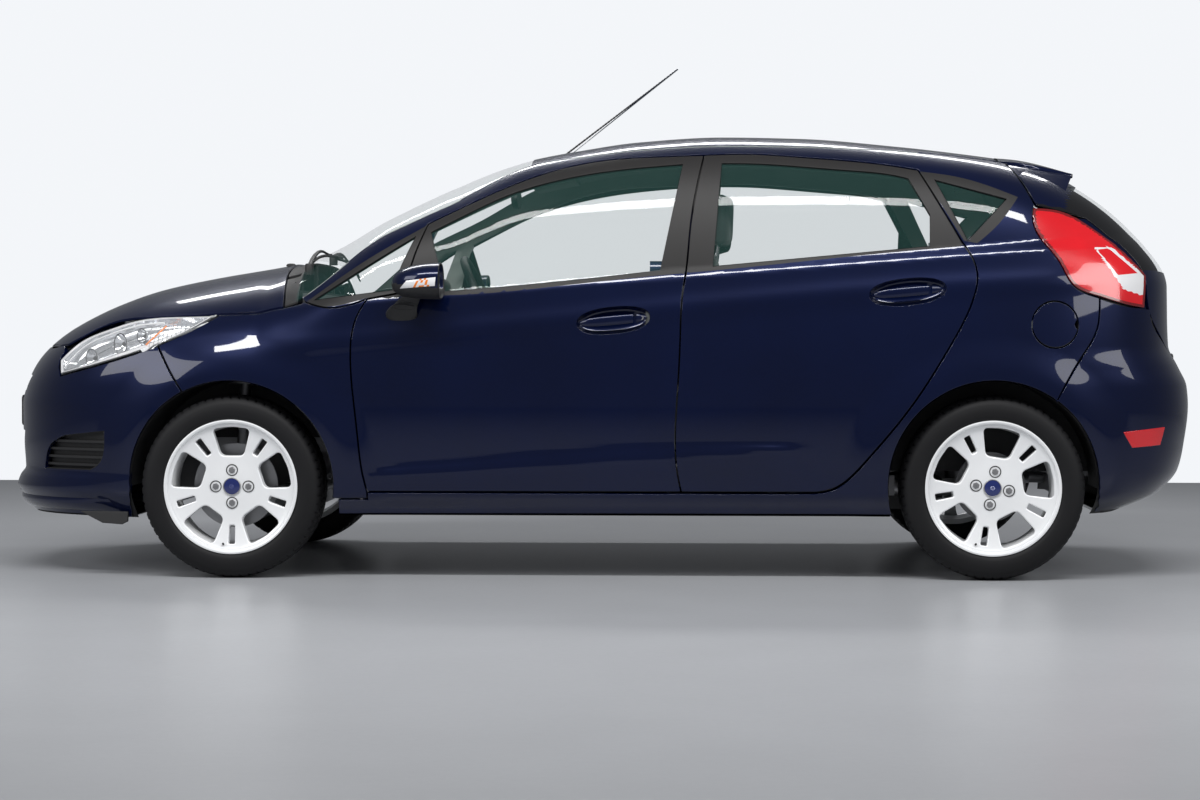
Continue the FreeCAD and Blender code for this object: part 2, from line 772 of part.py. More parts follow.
def gate_pin(y, grow=0.0):
    half = gate_barrel / 2 + 7 + running_gap
    return Part.makeCylinder(gate_pin_radius + grow, 2 * half,
                             V(tailgate_hinge_x, y - half, tailgate_hinge_z), V(0, 1, 0))


def windscreen():
    def edge(x):
        return seam(x) - shut_gap / 2
    return top_layer(fx(195), fx(968), edge, screen_set, screen_set + glass, 10, 12)


def crown_limit(x):
    """Half width up to which the bonnet is described."""
    wide = along([(nose_x + 95, 110), (nose_x + 140, 330), (nose_x + 230, 560), (nose_x + 330, 625),
                  (fx(-480), 650), (fx(-330), 710), (fx(-56), 775), (fx(200), 790)], x)
    return wide


bonnet_plan = [
    [(fx(-640), -515), (fx(-715), -330), (fx(-755), 0), (fx(-715), 330), (fx(-640), 515)],
    [(fx(-640), 515), (fx(-600), 565)],
    [(fx(-600), 565), (fx(-553), 585), (fx(-470), 602), (fx(-332), 659), (fx(-56), 733), (fx(166), 757)],
    [(fx(166), 757), (fx(142), 480), (fx(131), 0), (fx(142), -480), (fx(166), -757)],
    [(fx(166), -757), (fx(-56), -733), (fx(-332), -659), (fx(-470), -602), (fx(-553), -585),
     (fx(-600), -565)],
    [(fx(-600), -565), (fx(-640), -515)]]


def bonnet():
    """Outer skin, inner frame with two openings, and the hinge arms."""
    panel = top_layer(nose_x + 96, fx(172), crown_limit, 0, panel_skin, 14, 12)
    panel = panel.common(plan_prism(bonnet_plan, -shut_gap / 2))
    stiffener = top_layer(fx(-560), fx(118), lambda x: 0.72 * crown_limit(x), panel_skin - 1,
                          panel_skin + 18, 8, 8)
    window = plan_prism([
        [(fx(-480), -70), (fx(-420), -360)], [(fx(-420), -360), (fx(-60), -430)],
        [(fx(-60), -430), (fx(30), -70)], [(fx(30), -70), (fx(-480), -70)]])
    solid = panel.fuse(stiffener.cut(window).cut(mirrored(window)))
    for s in (-1, 1):
        y = s * bonnet_hinge_y
        barrel = Part.makeCylinder(10, 12, V(bonnet_hinge_x, y - 6, bonnet_hinge_z), V(0, 1, 0))
        knee = fx(121)
        arm = box(knee - 20, bonnet_hinge_x, y - 6, y + 6, bonnet_hinge_z - 15, bonnet_hinge_z - 4)
        foot_top = crown(knee - 20, bonnet_hinge_y + 6) - 2
        foot = box(knee - 20, knee, y - 6, y + 6, bonnet_hinge_z - 15, foot_top)
        solid = solid.fuse([barrel, arm, foot]).cut(bonnet_pin(s, pin_clearance))
    return solid


def cowl():
    """Panel between the bonnet and the windscreen, with slots for the bonnet's hinges."""
    plan = [
        [(fx(166), -745), (fx(142), -480), (fx(131), 0), (fx(142), 480), (fx(166), 745)],
        [(fx(166), 745), (fx(214), 745)],
        [(fx(214), 745), (fx(202), 480), (fx(194), 0), (fx(202), -480), (fx(214), -745)],
        [(fx(214), -745), (fx(166), -745)]]
    panel = top_layer(fx(120), fx(235), lambda x: 750, cowl_set, cowl_set + 6, 5, 12)
    panel = panel.common(plan_prism(plan, -shut_gap / 2))
    for s in (-1, 1):
        y = s * bonnet_hinge_y
        panel = panel.cut(box(fx(100), fx(196), y - 16, y + 16, 900, 1100))
    gutter = box(fx(176), fx(200), -650, 650, 930, 948)
    return panel.fuse([gutter] + [cowl_post(y) for y in (-620, -200, 200, 620)] + hinge_stands())


def cowl_post(y):
    return box(fx(184), fx(196), y - 8, y + 8, 940, crown(fx(190), y) - 12)


def hinge_stands():
    """Ears that carry the bonnet's pins."""
    parts = []
    for s in (-1, 1):
        for side_step in (-1, 1):
            y0 = s * bonnet_hinge_y + side_step * (6 + running_gap + 3) - 3
            ear = Part.makeCylinder(9, 6, V(bonnet_hinge_x, y0, bonnet_hinge_z), V(0, 1, 0))
            stand = box(bonnet_hinge_x - 9, bonnet_hinge_x + 9, y0, y0 + 6, 940, bonnet_hinge_z)
            parts += [ear, stand]
        parts.append(bonnet_pin(s))
    return parts


def bonnet_pin(s, grow=0.0):
    half = 6 + running_gap + 6
    return Part.makeCylinder(hinge_pin_radius + grow, 2 * half,
                             V(bonnet_hinge_x, s * bonnet_hinge_y - half, bonnet_hinge_z), V(0, 1, 0))


def wing():
    front = side_layer(fx(-330), fx(470), lambda x: 262.0, bonnet_seam_z, 0, panel_skin, 14, 9)
    region = [
        [(fx(354), 262), (fx(451), 262)], [(fx(451), 262), (fx(451), 285)], door_front_edge,
        [(fx(451), 916), (fx(330), 887), (fx(236), 908)],
        [(fx(236), 908), (fx(166), 1000)], [(fx(166), 1000), (fx(-52), 1000)],
        [(fx(-52), 1000), (fx(-50), 864)], [(fx(-50), 864), (fx(-142), 811), (fx(-248), 764)],
        front_bumper_edge, [(fx(0), wheel_z), (fx(354), 262)]]
    panel = front.common(side_prism(region, -shut_gap / 2))
    return panel.cut(arch_cut(front_axle_x, arch_radius))


def wing_brackets():
    """Blocks on the body that the left wing is bolted to."""
    seat = side_layer(fx(-330), fx(470), lambda x: 262.0, bonnet_seam_z, panel_skin + seat_gap, 150, 14, 9)
    places = [(fx(300), fx(330), 660, 690), (fx(240), fx(270), 790, 820), (fx(362), fx(385), 270, 296)]
    return [seat.common(box(x0, x1, -1200, -690, z0, z1)) for x0, x1, z0, z1 in places]


def bonnet_seam_z(x):
    y = along([(fx(-600), 565), (fx(-470), 602), (fx(-332), 659), (fx(-56), 733), (fx(166), 757),
               (fx(300), 770), (fx(480), 778)], x)
    return crown(x, y + wing_drop)


bumper_heights = [
    195, 215, 235, 255, 272, 288, 304, 322, 345, 380, 430, 480, 530, 580, 620, 655, 690, 715, 737]


def front_start(z):
    return fx(-150)


def front_bumper():
    cover = end_layer(front_start, bumper_heights, 0, bumper_skin, 10)
    region = [
        [(nose_x - 60, 150), (fx(-300), 150)], [(fx(-300), 150), (fx(0), wheel_z)],
        list(reversed(front_bumper_edge)),
        [(fx(-248), 764), (fx(-275), 755), (fx(-379), 722), (fx(-489), 692), (fx(-608), 664)],
        lamp_nose, [(fx(-618), 714), (fx(-600), 760)], [(fx(-600), 760), (nose_x - 60, 760)],
        [(nose_x - 60, 760), (nose_x - 60, 150)]]
    cover = cover.common(side_prism(region, -shut_gap / 2, -1200, 1200))
    cover = cover.cut(plan_prism(bonnet_plan, shut_gap / 2, 700, 900))
    for cut in grille_cuts():
        cover = cover.cut(cut)
    cover = cover.cut(arch_cut(front_axle_x, arch_radius)).cut(mirrored(arch_cut(front_axle_x, arch_radius)))
    return cover


def grille_cuts(grow=0.0):
    lower = end_prism([[(-330, 330), (330, 330)], [(330, 330), (430, 470)],
                       [(430, 470), (0, 482), (-430, 470)], [(-430, 470), (-330, 330)]],
                      grow, nose_x - 100, fx(-500))
    upper = end_prism([[(-400, 610), (0, 602), (400, 610)], [(400, 610), (430, 660)],
                       [(430, 660), (0, 668), (-430, 660)], [(-430, 660), (-400, 610)]],
                      grow, nose_x - 100, fx(-500))
    corner = side_prism(corner_grille, grow, -1200, -520)
    return [lower, upper, corner, mirrored(corner)]


corner_grille = [
    [(fx(-675), 349), (fx(-648), 428), (fx(-584), 464)], [(fx(-584), 464), (fx(-434), 481)],
    [(fx(-434), 481), (fx(-459), 367), (fx(-490), 349)], [(fx(-490), 349), (fx(-675), 349)]]


def grille():
    """Black grille panels seated behind the bumper, each a frame with level bars."""
    heights = [z for z in bumper_heights if 300 < z < 700]
    back = end_layer(front_start, heights, 24, 30, 10)
    bars = end_layer(front_start, heights, 10, 25, 10)
    seat = end_layer(front_start, heights, bumper_skin + grille_seat, 26, 10)
    slats = []
    for z in (366, 392, 418, 444, 622, 646):
        slats.append(bars.common(box(nose_x - 100, fx(-380), -900, 900, z - 4, z + 4)))
    solid = back.fuse(slats)
    parts = []
    for cut, wide, tight in zip(grille_cuts(), grille_cuts(8), grille_cuts(-3)):
        frame = seat.common(wide).cut(tight)
        parts.append(solid.common(cut).fuse(frame))
    return Part.makeCompound(parts)


def headlamps():
    block = side_layer(fx(-622), fx(-40), lambda x: 640.0, lambda x: lamp_top_z(x), 0, 70, 14, 8)
    lamp = block.common(side_prism(headlamp_line, -shut_gap / 2))
    lid = top_layer(nose_x + 96, fx(172), crown_limit, -shut_gap, panel_skin + 1, 14, 12)
    return both(lamp.cut(lid.common(plan_prism(bonnet_plan, 1))))


def lamp_top_z(x):
    y = along([(fx(-640), 545), (fx(-600), 565), (fx(-470), 602), (fx(-332), 659), (fx(-56), 733),
               (fx(166), 757)], x)
    return crown(x, y + lamp_drop)


def tail_lamp_low(x):
    return 870.0


def tail_lamp_high(x):
    return min(1260.0, crown(x, roof_edge))


def tail_lamps():
    """Lamps whose blocks sit in the body, with a shut gap round the lens in view."""
    layers = [side_layer(rx(130), rx(512), tail_lamp_low, tail_lamp_high, out, into, 12, 10)
              for out, into in ((0, 14), (12, 60))]
    lens = layers[0].common(side_prism(tail_lamp_line, -shut_gap / 2))
    block = layers[1].common(side_prism(tail_lamp_line, lamp_overlap))
    block = block.cut(side_prism(body_region, -shut_gap / 2 + seat_gap))
    gate_side = box(rx(100), rx(600), -tailgate_half - shut_gap / 2, 0, 800, 1300)
    return both(lens.fuse(block).cut(gate_side))


tailgate_half = 655.0


def rear_start(z):
    return rx(205)


def rear_bumper():
    heights = [212, 240, 272, 310, 349, 390, 430, 480, 530, 580, 625, 650, 675, 700, 730, 763, 820, 880, 915]
    cover = end_layer(rear_start, heights, 0, bumper_skin, 10)
    region = [
        [(tail_x + 60, 150), (tail_x + 60, 770)], [(tail_x + 60, 770), (rx(560), 775)],
        [(rx(560), 775), (rx(540), 885)], [(rx(540), 885), (rx(507), 885), (rx(440), 896), (rx(348), 922)],
        [(rx(348), 922), (rx(347), 915)],
        [(rx(347), 915), (rx(336), 815), (rx(278), 717), (rx(205), 588), (rx(0), wheel_z)],
        [(rx(0), wheel_z), (rx(250), 150)], [(rx(250), 150), (tail_x + 60, 150)]]
    cover = cover.common(side_prism(region, -shut_gap / 2, -1200, 1200))
    cover = cover.cut(arch_cut(rear_axle_x, arch_radius)).cut(mirrored(arch_cut(rear_axle_x, arch_radius)))
    gate = end_prism(gate_line, shut_gap / 2)
    return cover.cut(gate)


gate_line = [
    [(-575, 770), (575, 770)], [(575, 770), (tailgate_half, 860)],
    [(tailgate_half, 860), (tailgate_half, 1235)], [(tailgate_half, 1235), (800, 1236)],
    [(800, 1236), (800, height + 60)], [(800, height + 60), (-800, height + 60)],
    [(-800, height + 60), (-800, 1236)], [(-800, 1236), (-tailgate_half, 1235)],
    [(-tailgate_half, 1235), (-tailgate_half, 860)], [(-tailgate_half, 860), (-575, 770)]]


def gate_start(z):
    if z > 1224:
        return along([(1224, rx(145)), (height - 160, rx(100)), (height - 84, rx(56))], z)
    return rx(145) + (1224 - z) * 0.2


def tailgate():
    heights = [740, 770, 800, 850, 900, 950, 985, 1010, 1040, 1080, 1120, 1160, 1200, 1240, 1280, 1310,
               height - 136, height - 112]
    shell = end_layer(gate_start, heights, 0, gate_wall, 9)
    side_cut = side_prism([
        [(rx(60), 700), (tail_x + 60, 700)], [(tail_x + 60, 700), (tail_x + 60, height + 40)],
        [(tail_x + 60, height + 40), (rx(30), height + 40)], list(reversed(hatch_line)),
        [(rx(145), 1224), (rx(60), 700)]], -shut_gap / 2, -1200, 1200)
    gate = shell.common(end_prism(gate_line, -shut_gap / 2)).common(side_cut)
    gate = gate.cut(end_prism(screen_line, 0))
    return gate.fuse([spoiler(), spoiler_fin(), mirrored(spoiler_fin())])


screen_line = [
    [(-560, 1010), (0, 1000), (560, 1010)], [(560, 1010), (545, 1290)],
    [(545, 1290), (0, 1306), (-545, 1290)], [(-545, 1290), (-560, 1010)]]


def rear_screen():
    heights = [985, 1010, 1040, 1080, 1120, 1160, 1200, 1240, 1280, 1315]
    shell = end_layer(gate_start, heights, glass_depth - 6, glass_depth - 6 + glass, 9)
    return shell.common(end_prism(screen_line, 0))


def spoiler_fin():
    """Side wall of the spoiler, from the hatch line on the body back to the trailing edge."""
    outer = []
    inner = []
    for s in steps(0, 1, 4):
        out_row = []
        in_row = []
        for t in steps(0, 1, 5):
            z0 = fin_top + (fin_foot - fin_top) * t
            x0 = gate_start(z0) + shut_gap / 2 + 1
            y0 = min(side(x0, z0), spoiler_half + (side(x0, fin_foot) - spoiler_half) * t ** 0.8)
            x1 = gate_front_x + spoiler_reach - 28 - 52 * t
            y1 = spoiler_half + 130 * t
            z1 = crown(rx(28), 0) - 70 - 98 * t
            point = (x0 + s * (x1 - x0), y0 + s * (y1 - y0) - fin_set, z0 + s * (z1 - z0))
            out_row.append((point[0], -point[1], point[2]))
            in_row.append((point[0], fin_wall - point[1], point[2]))
        outer.append(out_row)
        inner.append(in_row)
    return thick(outer, inner)


wing_section = ((0, 0, 6), (0.25, 0.12, 10), (0.5, 0.4, 26), (0.75, 0.72, 24), (0.98, 1, 15))


def spoiler():
    """Roof spoiler: a wing section carried across the top of the tailgate."""
    top = []
    under = []
    for t in steps(-1, 1, 8):
        y = t * spoiler_half
        z0 = crown(gate_front_x, y)
        reach = spoiler_reach - 28 * t * t
        z1 = crown(rx(28), 0) - 54 - 14 * t * t
        drop = z0 - z1
        top.append([(gate_front_x + reach * a, y, z0 - drop * b)
                    for a, b in ((0, 0), (0.25, 0.1), (0.5, 0.32), (0.75, 0.64), (1, 1))])
        under.append([(gate_front_x + reach * a, y, z0 - drop * b - c)
                      for a, b, c in wing_section])
    solid = thick(top, under)
    for y in tailgate_hinge_places:
        start = V(tailgate_hinge_x, y - gate_barrel / 2, tailgate_hinge_z)
        barrel = Part.makeCylinder(8, gate_barrel, start, V(0, 1, 0))
        web = box(tailgate_hinge_x, tailgate_hinge_x + 60, y - gate_barrel / 2, y + gate_barrel / 2,
                  tailgate_hinge_z - 4, tailgate_hinge_z + 5)
        solid = solid.fuse([barrel, web]).cut(gate_pin(y, pin_clearance))
    return solid


def flap_rod(radius, first, last):
    """Round rod on the fuel flap's hinge line, which leans with the panel around it."""
    rise = (side(flap_hinge_x, flap_z - 60) - side(flap_hinge_x, flap_z + 60)) / 120
    line = V(0, rise, 1).normalize()
    foot = V(flap_hinge_x, -flap_hinge_y, flap_z) + line * min(first, last)
    return Part.makeCylinder(radius, abs(last - first), foot, line)


def flap_lugs(grow=0.0):
    """Both ends of the flap's hinge, which the body side carries."""
    start = flap_knuckle / 2 + 1.3
    return [flap_rod(flap_barrel_radius + grow, s * (start - grow), s * (start + 5.7 + grow)) for s in (-1, 1)]


def fuel_flap():
    """Round filler flap with the knuckle of its hinge at the front and a finger notch at its rear edge."""
    flap = Walls.cabin(0, flap_skin).common(bore(rx(flap_x), flap_z, flap_radius))
    for lug in flap_lugs(0.8):
        flap = flap.cut(lug)
    web = box(flap_hinge_x, flap_hinge_x + 8, -flap_hinge_y - 8, -flap_hinge_y + 8, flap_z - 9, flap_z + 9)
    knuckle = flap_rod(flap_barrel_radius, -flap_knuckle / 2, flap_knuckle / 2)
    flap = flap.fuse([knuckle, web.common(Walls.cabin(0.3, flap_skin))])
    flap = flap.cut(bore(rx(flap_x) + flap_radius + 6, flap_z, 16))
    return flap.cut(flap_rod(flap_pin_radius + pin_clearance, -30, 30))


def with_filler(body):
    """Add the filler pocket to the left side, with its neck and the flap's hinge."""
    floor_y = -(side(rx(flap_x), flap_z) - filler_depth)
    pocket = bore(rx(flap_x), flap_z, flap_radius + flap_gap)
    body = body.cut(Walls.cabin(-30, filler_depth).common(pocket))
    reach = flap_knuckle / 2 + 0.8
    body = body.cut(flap_rod(flap_barrel_radius + 0.8, -reach, reach))
    body = body.cut(bore(rx(flap_x), flap_z, filler_radius))
    neck = Part.makeCylinder(filler_radius + 5, 90, V(rx(flap_x), floor_y - 22, flap_z), V(0, 1, 0))
    parts = [neck.cut(bore(rx(flap_x), flap_z, filler_radius))]
    parts.append(flap_rod(flap_pin_radius, -flap_knuckle / 2 - 6, flap_knuckle / 2 + 6))
    return body.fuse(parts + flap_lugs())


def floor_pan():
    """Pressed floor with its tunnel, bench step, rear floor and tail panel."""
    line = [(fx(350), 640), (fx(392), 400), (fx(470), 232), (fx(600), 214), (rx(-440), 214), (rx(-368), 330),
            (rx(-60), 392), (rx(250), 330), (rx(600), 330)]
    over = [(x + 8, z + floor_thickness) for x, z in reversed(line)]
    face = Part.Face(Part.makePolygon([V(x, -floor_half, z) for x, z in line + over + line[:1]]))
    pan = face.extrude(V(0, 2 * floor_half, 0))
    plan = [[(fx(300), -floor_half), (rx(120), -floor_half)], [(rx(120), -floor_half), (rx(420), -650),
            (rx(575), -520), (rx(632), -260), (rx(645), 0), (rx(632), 260), (rx(575), 520), (rx(420), 650),
            (rx(120), floor_half)],
            [(rx(120), floor_half), (fx(300), floor_half)], [(fx(300), floor_half), (fx(300), -floor_half)]]
    pan = pan.common(plan_prism(plan))
    hollow = box(fx(430), rx(-380), -105, 105, 140, 312)
    tunnel = box(fx(440), rx(-392), -127, 127, 214, 334).cut(hollow)
    pan = pan.cut(hollow).fuse(tunnel)
    for axle, inner in ((front_axle_x, front_well_inner), (rear_axle_x, rear_well_inner)):
        well = well_cylinder(axle, arch_radius + liner + seat_gap, inner - seat_gap)
        pan = pan.cut(well).cut(mirrored(well))
    tail = end_layer(lambda z: rx(420), [334, 440, 560, 680, 755], 34, 46, 8)
    tail = tail.common(box(rx(400), tail_x, -560, 560, 330, 752))
    return pan.fuse(tail)


def well_cylinder(axle, radius, inner):
    base = V(axle, -half_width + 36, wheel_z + 8)
    return Part.makeCylinder(radius, half_width - 36 - inner, base, V(0, 1, 0))


def wheel_well(axle, inner, wall_from):
    """Half drum over a left wheel, closed on its inner side above a height."""
    drum = well_cylinder(axle, arch_radius + liner, inner)
    drum = drum.cut(well_cylinder(axle, arch_radius, inner + liner))
    outside = side_layer(axle - 360, axle + 360, lambda x: 250.0, lambda x: 680.0, -80, well_set, 10, 6)
    drum = drum.cut(outside)
    under = box(axle - 500, axle + 500, -half_width, 0, -100, 300)
    inner_under = box(axle - arch_radius, axle + arch_radius, -inner - liner - 1, 0, -100, wall_from)
    return drum.cut(under).cut(inner_under)


def front_wells():
    """Drums over the front wheels with the strut towers on top."""
    well = wheel_well(front_axle_x, front_well_inner, 450)
    top_x, top_y, top_z = kingpin_point(kingpin_top[2])
    mid_y = top_y - tower_shift
    hx = tower_half_x
    hy = tower_half_y
    tower = box(top_x - hx - 7, top_x + hx + 7, mid_y - hy - 7, mid_y + hy + 7, 560, top_z + 22)
    room = box(top_x - hx, top_x + hx, mid_y - hy, mid_y + hy, 500, top_z - 30)
    tower = tower.cut(room).cut(well_cylinder(front_axle_x, arch_radius, front_well_inner + liner))
    tower = tower.cut(Part.makeSphere(top_ball + running_gap, V(top_x, top_y, top_z)))
    tower = tower.cut(Part.makeCylinder(top_ball + running_gap - 1, 60, V(top_x, top_y, top_z - 62)))
    return both(well.cut(room).fuse(tower))


def front_structure():
    """Side rails, bumper beam, bulkhead and the ties to the strut towers."""
    top_x, top_y, top_z = kingpin_point(kingpin_top[2])
    tower_top = top_z + 22 + seat_gap
    well_side = front_well_inner - seat_gap
    beam = end_layer(front_start, [400, 430, 470, 500], 60, 100, 8)
    parts = [beam.common(box(nose_x, nose_x + 220, -520, 520, 395, 505))]
    for s in (-1, 1):
        parts.append(box(nose_x + 150, fx(372), s * 420 - 25, s * 420 + 25, 400, 500))
        near, far = sorted((s * 430, s * well_side))
        parts.append(box(top_x - 60, top_x + 60, near, far, 480, 640))
        parts.append(box(fx(-20), fx(232), s * 600 - 54, s * 600 + 54, tower_top, tower_top + 22))
    bulkhead = box(fx(214), fx(232), -floor_half, floor_half, 600, 938)
    parts.append(box(fx(214), fx(232), -470, 470, 480, 610))
    parts.append(box(fx(214), fx(349), -floor_half, floor_half, 600, 618))
    return bulkhead.fuse(parts)


def rear_wells():
    well = wheel_well(rear_axle_x, rear_well_inner, 345)
    return both(well)


def tyre(y_sign, axle, track):
    r = tyre_diameter / 2
    bead = rim_diameter / 2 - 8
    h = tyre_width / 2
    outline_half = [(bead, 0.78), (r - 38, 1.0), (r - 9, 0.86), (r, 0.62)]
    profile = [(a, -h * b) for a, b in outline_half] + [(a, h * b) for a, b in reversed(outline_half)]
    return revolve(profile, (axle, y_sign * track / 2, wheel_z), (0, 1, 0))


def rim(y_sign, axle, track, disc_radius):
    r = rim_diameter / 2
    bead = rim_diameter / 2 - 8
    h = rim_width / 2
    out = y_sign
    face = out * h
    profile = [(r, h), (r, h - 9), (bead - 0.3, h - 16), (bead - 0.3, -h + 16), (r, -h + 9), (r, -h),
               (r - 14, -h + 2), (bead - 22, -h + 26), (bead - 22, h - 26), (r - 14, h - 2)]
    barrel = revolve([(a, b) for a, b in profile], (axle, y_sign * track / 2, wheel_z), (0, 1, 0))
    plate_profile = [(hub_bore_radius, 0.58 * h * out), (bead - 20, 0.86 * h * out),
                     (bead - 20, 0.58 * h * out), (hub_bore_radius, 0.22 * h * out)]
    plate = revolve(plate_profile, (axle, y_sign * track / 2, wheel_z), (0, 1, 0))
    centre = V(axle, y_sign * track / 2, wheel_z)
    for k in range(spoke_count):
        angle = 90 + 72 * k
        window = wheel_window(angle, 21.5, 82, bead - 30, 0.62)
        slot = wheel_window(angle + 36, 5.2, 118, bead - 34, 0.45)
        for cut in (window, slot):
            cut.translate(V(axle, y_sign * track / 2 - 150, wheel_z))
            plate = plate.cut(cut)
    for k in range(bolt_count):
        a = math.radians(90 * k)
        at = centre + V(math.cos(a), 0, math.sin(a)) * (bolt_circle / 2) - V(0, 150, 0)
        plate = plate.cut(Part.makeCylinder(bolt_hole_radius, 300, at, V(0, 1, 0)))
    disc = revolve([(hub_bore_radius, 0.16 * h * out), (disc_radius, 0.16 * h * out),
                    (disc_radius, -0.12 * h * out), (hub_bore_radius, -0.12 * h * out)],
                   (axle, y_sign * track / 2, wheel_z), (0, 1, 0))
    hub = revolve([(hub_bore_radius, 0.50 * h * out), (78, 0.50 * h * out), (78, 0), (hub_bore_radius, 0)],
                  (axle, y_sign * track / 2, wheel_z), (0, 1, 0))
    for k in range(bolt_count):
        a = math.radians(90 * k)
        at = centre + V(math.cos(a), 0, math.sin(a)) * (bolt_circle / 2) - V(0, 150, 0)
        hub = hub.cut(Part.makeCylinder(bolt_hole_radius, 300, at, V(0, 1, 0)))
    return barrel.fuse(plate).fuse(hub).fuse(disc)


def wheel_window(angle, half_angle, r0, r1, taper):
    """Opening between two radii of the wheel, round the given angle."""
    a0 = math.radians(angle - half_angle * taper)
    a1 = math.radians(angle + half_angle * taper)
    b0 = math.radians(angle - half_angle)
    b1 = math.radians(angle + half_angle)
    mid = math.radians(angle)

    def at(r, a):
        return V(r * math.cos(a), 0, r * math.sin(a))
    edges = [Part.Arc(at(r0, a0), at(r0, mid), at(r0, a1)).toShape(), Part.makeLine(at(r0, a1), at(r1, b1)),
             Part.Arc(at(r1, b1), at(r1, mid), at(r1, b0)).toShape(), Part.makeLine(at(r1, b0), at(r0, a0))]
    return Part.Face(Part.Wire(edges)).extrude(V(0, 300, 0))


def kingpin_point(z):
    (xa, ya, za), (xb, yb, zb) = kingpin_foot, kingpin_top
    t = (z - za) / (zb - za)
    return (fx(xa + t * (xb - xa)), -(ya + t * (yb - ya)), z)


def knuckle():
    """Left front upright: hub carrier, lower boss, steering arm, strut and spring."""
    foot = V(*kingpin_point(kingpin_foot[2]))
    top = V(*kingpin_point(kingpin_top[2]))
    wheel_y = -track_front / 2
    clamp_at = V(front_axle_x, wheel_y + 131, 392)
    lean = top - clamp_at
    seat_at = clamp_at + lean * 0.53
    carrier = Part.makeCylinder(54, 40, V(front_axle_x, wheel_y + 24, wheel_z), V(0, 1, 0))
    spindle = Part.makeCylinder(hub_bore_radius - running_gap, 70, V(front_axle_x, wheel_y - 40, wheel_z),
                                V(0, 1, 0))
    neck = path_rod([(front_axle_x, wheel_y + 50, wheel_z + 30), (front_axle_x, wheel_y + 104, 372),
                     tuple(clamp_at)], 16)
    leg = rod((foot.x, foot.y, foot.z + 34), (front_axle_x, wheel_y + 44, wheel_z - 40), 15)
    axis = (top - foot).normalize()
    boss = Part.makeCylinder(23, 38, foot + axis, axis)
    arm = rod((fx(20), wheel_y + 50, wheel_z - 24), (fx(112), wheel_y + 112, wheel_z - 40), 10)
    strut = rod(tuple(clamp_at), tuple(seat_at), strut_radius)
    piston = rod(tuple(seat_at), tuple(top), 9)
    ball = Part.makeSphere(top_ball, top)
    seat = Part.makeCylinder(spring_radius + 4, 7, seat_at, lean)
    spring = Part.makeCylinder(spring_radius, 150, seat_at, lean)
    solid = carrier.fuse([spindle, neck, leg, boss, arm, strut, piston, ball, seat, spring])
    return solid.cut(Part.makeSphere(foot_ball + running_gap, foot))


def rear_axle():
    """Twist beam with trailing arms, stub axles, springs and dampers."""
    beam = box(rx(-140), rx(-70), -515, 515, 250, 316).cut(box(rx(-132), rx(-78), -516, 516, 240, 306))
    parts = [beam]
    for s in (-1, 1):
        y = s * 532
        parts.append(path_rod([(rx(-325), y, 290), (rx(-105), y, 283), (rx(0), s * 575, wheel_z)], 24))
        parts.append(rod((rear_axle_x, s * 575, wheel_z), (rear_axle_x, s * (track_rear / 2 + 40), wheel_z),
                         hub_bore_radius - running_gap))
        flange_y = s * (track_rear / 2 - 26)
        parts.append(rod((rear_axle_x, s * 575, wheel_z), (rear_axle_x, flange_y, wheel_z), 42))
        parts.append(Part.makeCylinder(52, 70, V(rx(-75), s * 455, 300)))
        parts.append(box(rx(-140), rx(-20), s * 480 - 60, s * 480 + 60, 292, 302))
        parts.append(rod((rx(50), s * 530, 290), (rx(34), s * 528, 350), 18))
        parts.append(rod((rx(0), s * 545, wheel_z - 10), (rx(50), s * 530, 290), 16))
        parts.append(box(rx(-348), rx(-302), s * 530 - 26, s * 530 + 26, 262, 329))
    return parts[0].fuse(parts[1:])


def front_subframe():
    """Subframe with the lower arms and their ball joints, and the steering rack."""
    frame = box(fx(-90), fx(210), -330, 330, 205, 245)
    frame = frame.cut(box(fx(-40), fx(150), -230, 230, 200, 250))
    rack = rod((fx(205), -420, 262), (fx(205), 420, 262), 20)
    parts = [rack]
    for s in (-1, 1):
        ball = V(fx(kingpin_foot[0]), s * kingpin_foot[1], kingpin_foot[2])
        tip = (ball.x, ball.y - s * 34, ball.z - 16)
        parts.append(rod((fx(-40), s * 315, 225), tip, 12))
        parts.append(rod((fx(180), s * 315, 225), tip, 12))
        parts.append(rod(tip, (ball.x, ball.y, ball.z - 16), 9))
        parts.append(rod((ball.x, ball.y, ball.z - 22), tuple(ball), 8))
        parts.append(Part.makeSphere(foot_ball, ball))
        parts.append(box(fx(-60), fx(200), s * 320 - 20, s * 320 + 20, 240, 250))
        parts.append(box(fx(170), fx(210), s * 420 - 20, s * 420 + 20, 240, 400 - seat_gap))
        parts.append(box(fx(170), fx(210), s * 330 - 90, s * 330 + 110, 225, 250))
    return frame.fuse(parts)


def engine_block():
    """Engine and gearbox as one plain block, with the drive shafts that reach the front wheels."""
    block = box(fx(-330), fx(60), -395 + seat_gap, 395 - seat_gap, 270, 760)
    parts = []
    for s in (-1, 1):
        parts.append(rod((fx(0), s * 390, wheel_z), (fx(0), s * (track_front / 2 - 72), wheel_z), 13))
    return block.fuse(parts)


def radiator():
    return box(nose_x + 200, nose_x + 240, -395 + seat_gap, 395 - seat_gap, 290, 690)


def exhaust():
    pipe = path_rod([(fx(250), 60, 205), (fx(440), 40, 190), (rx(-440), 40, 188), (rx(-250), 150, 205),
                     (rx(-40), 160, 205), (rx(240), 300, 280), (rx(350), 300, 280)], 22)
    silencer = box(rx(300), rx(470), 80, 450, 235, 322)
    return pipe.fuse(silencer)


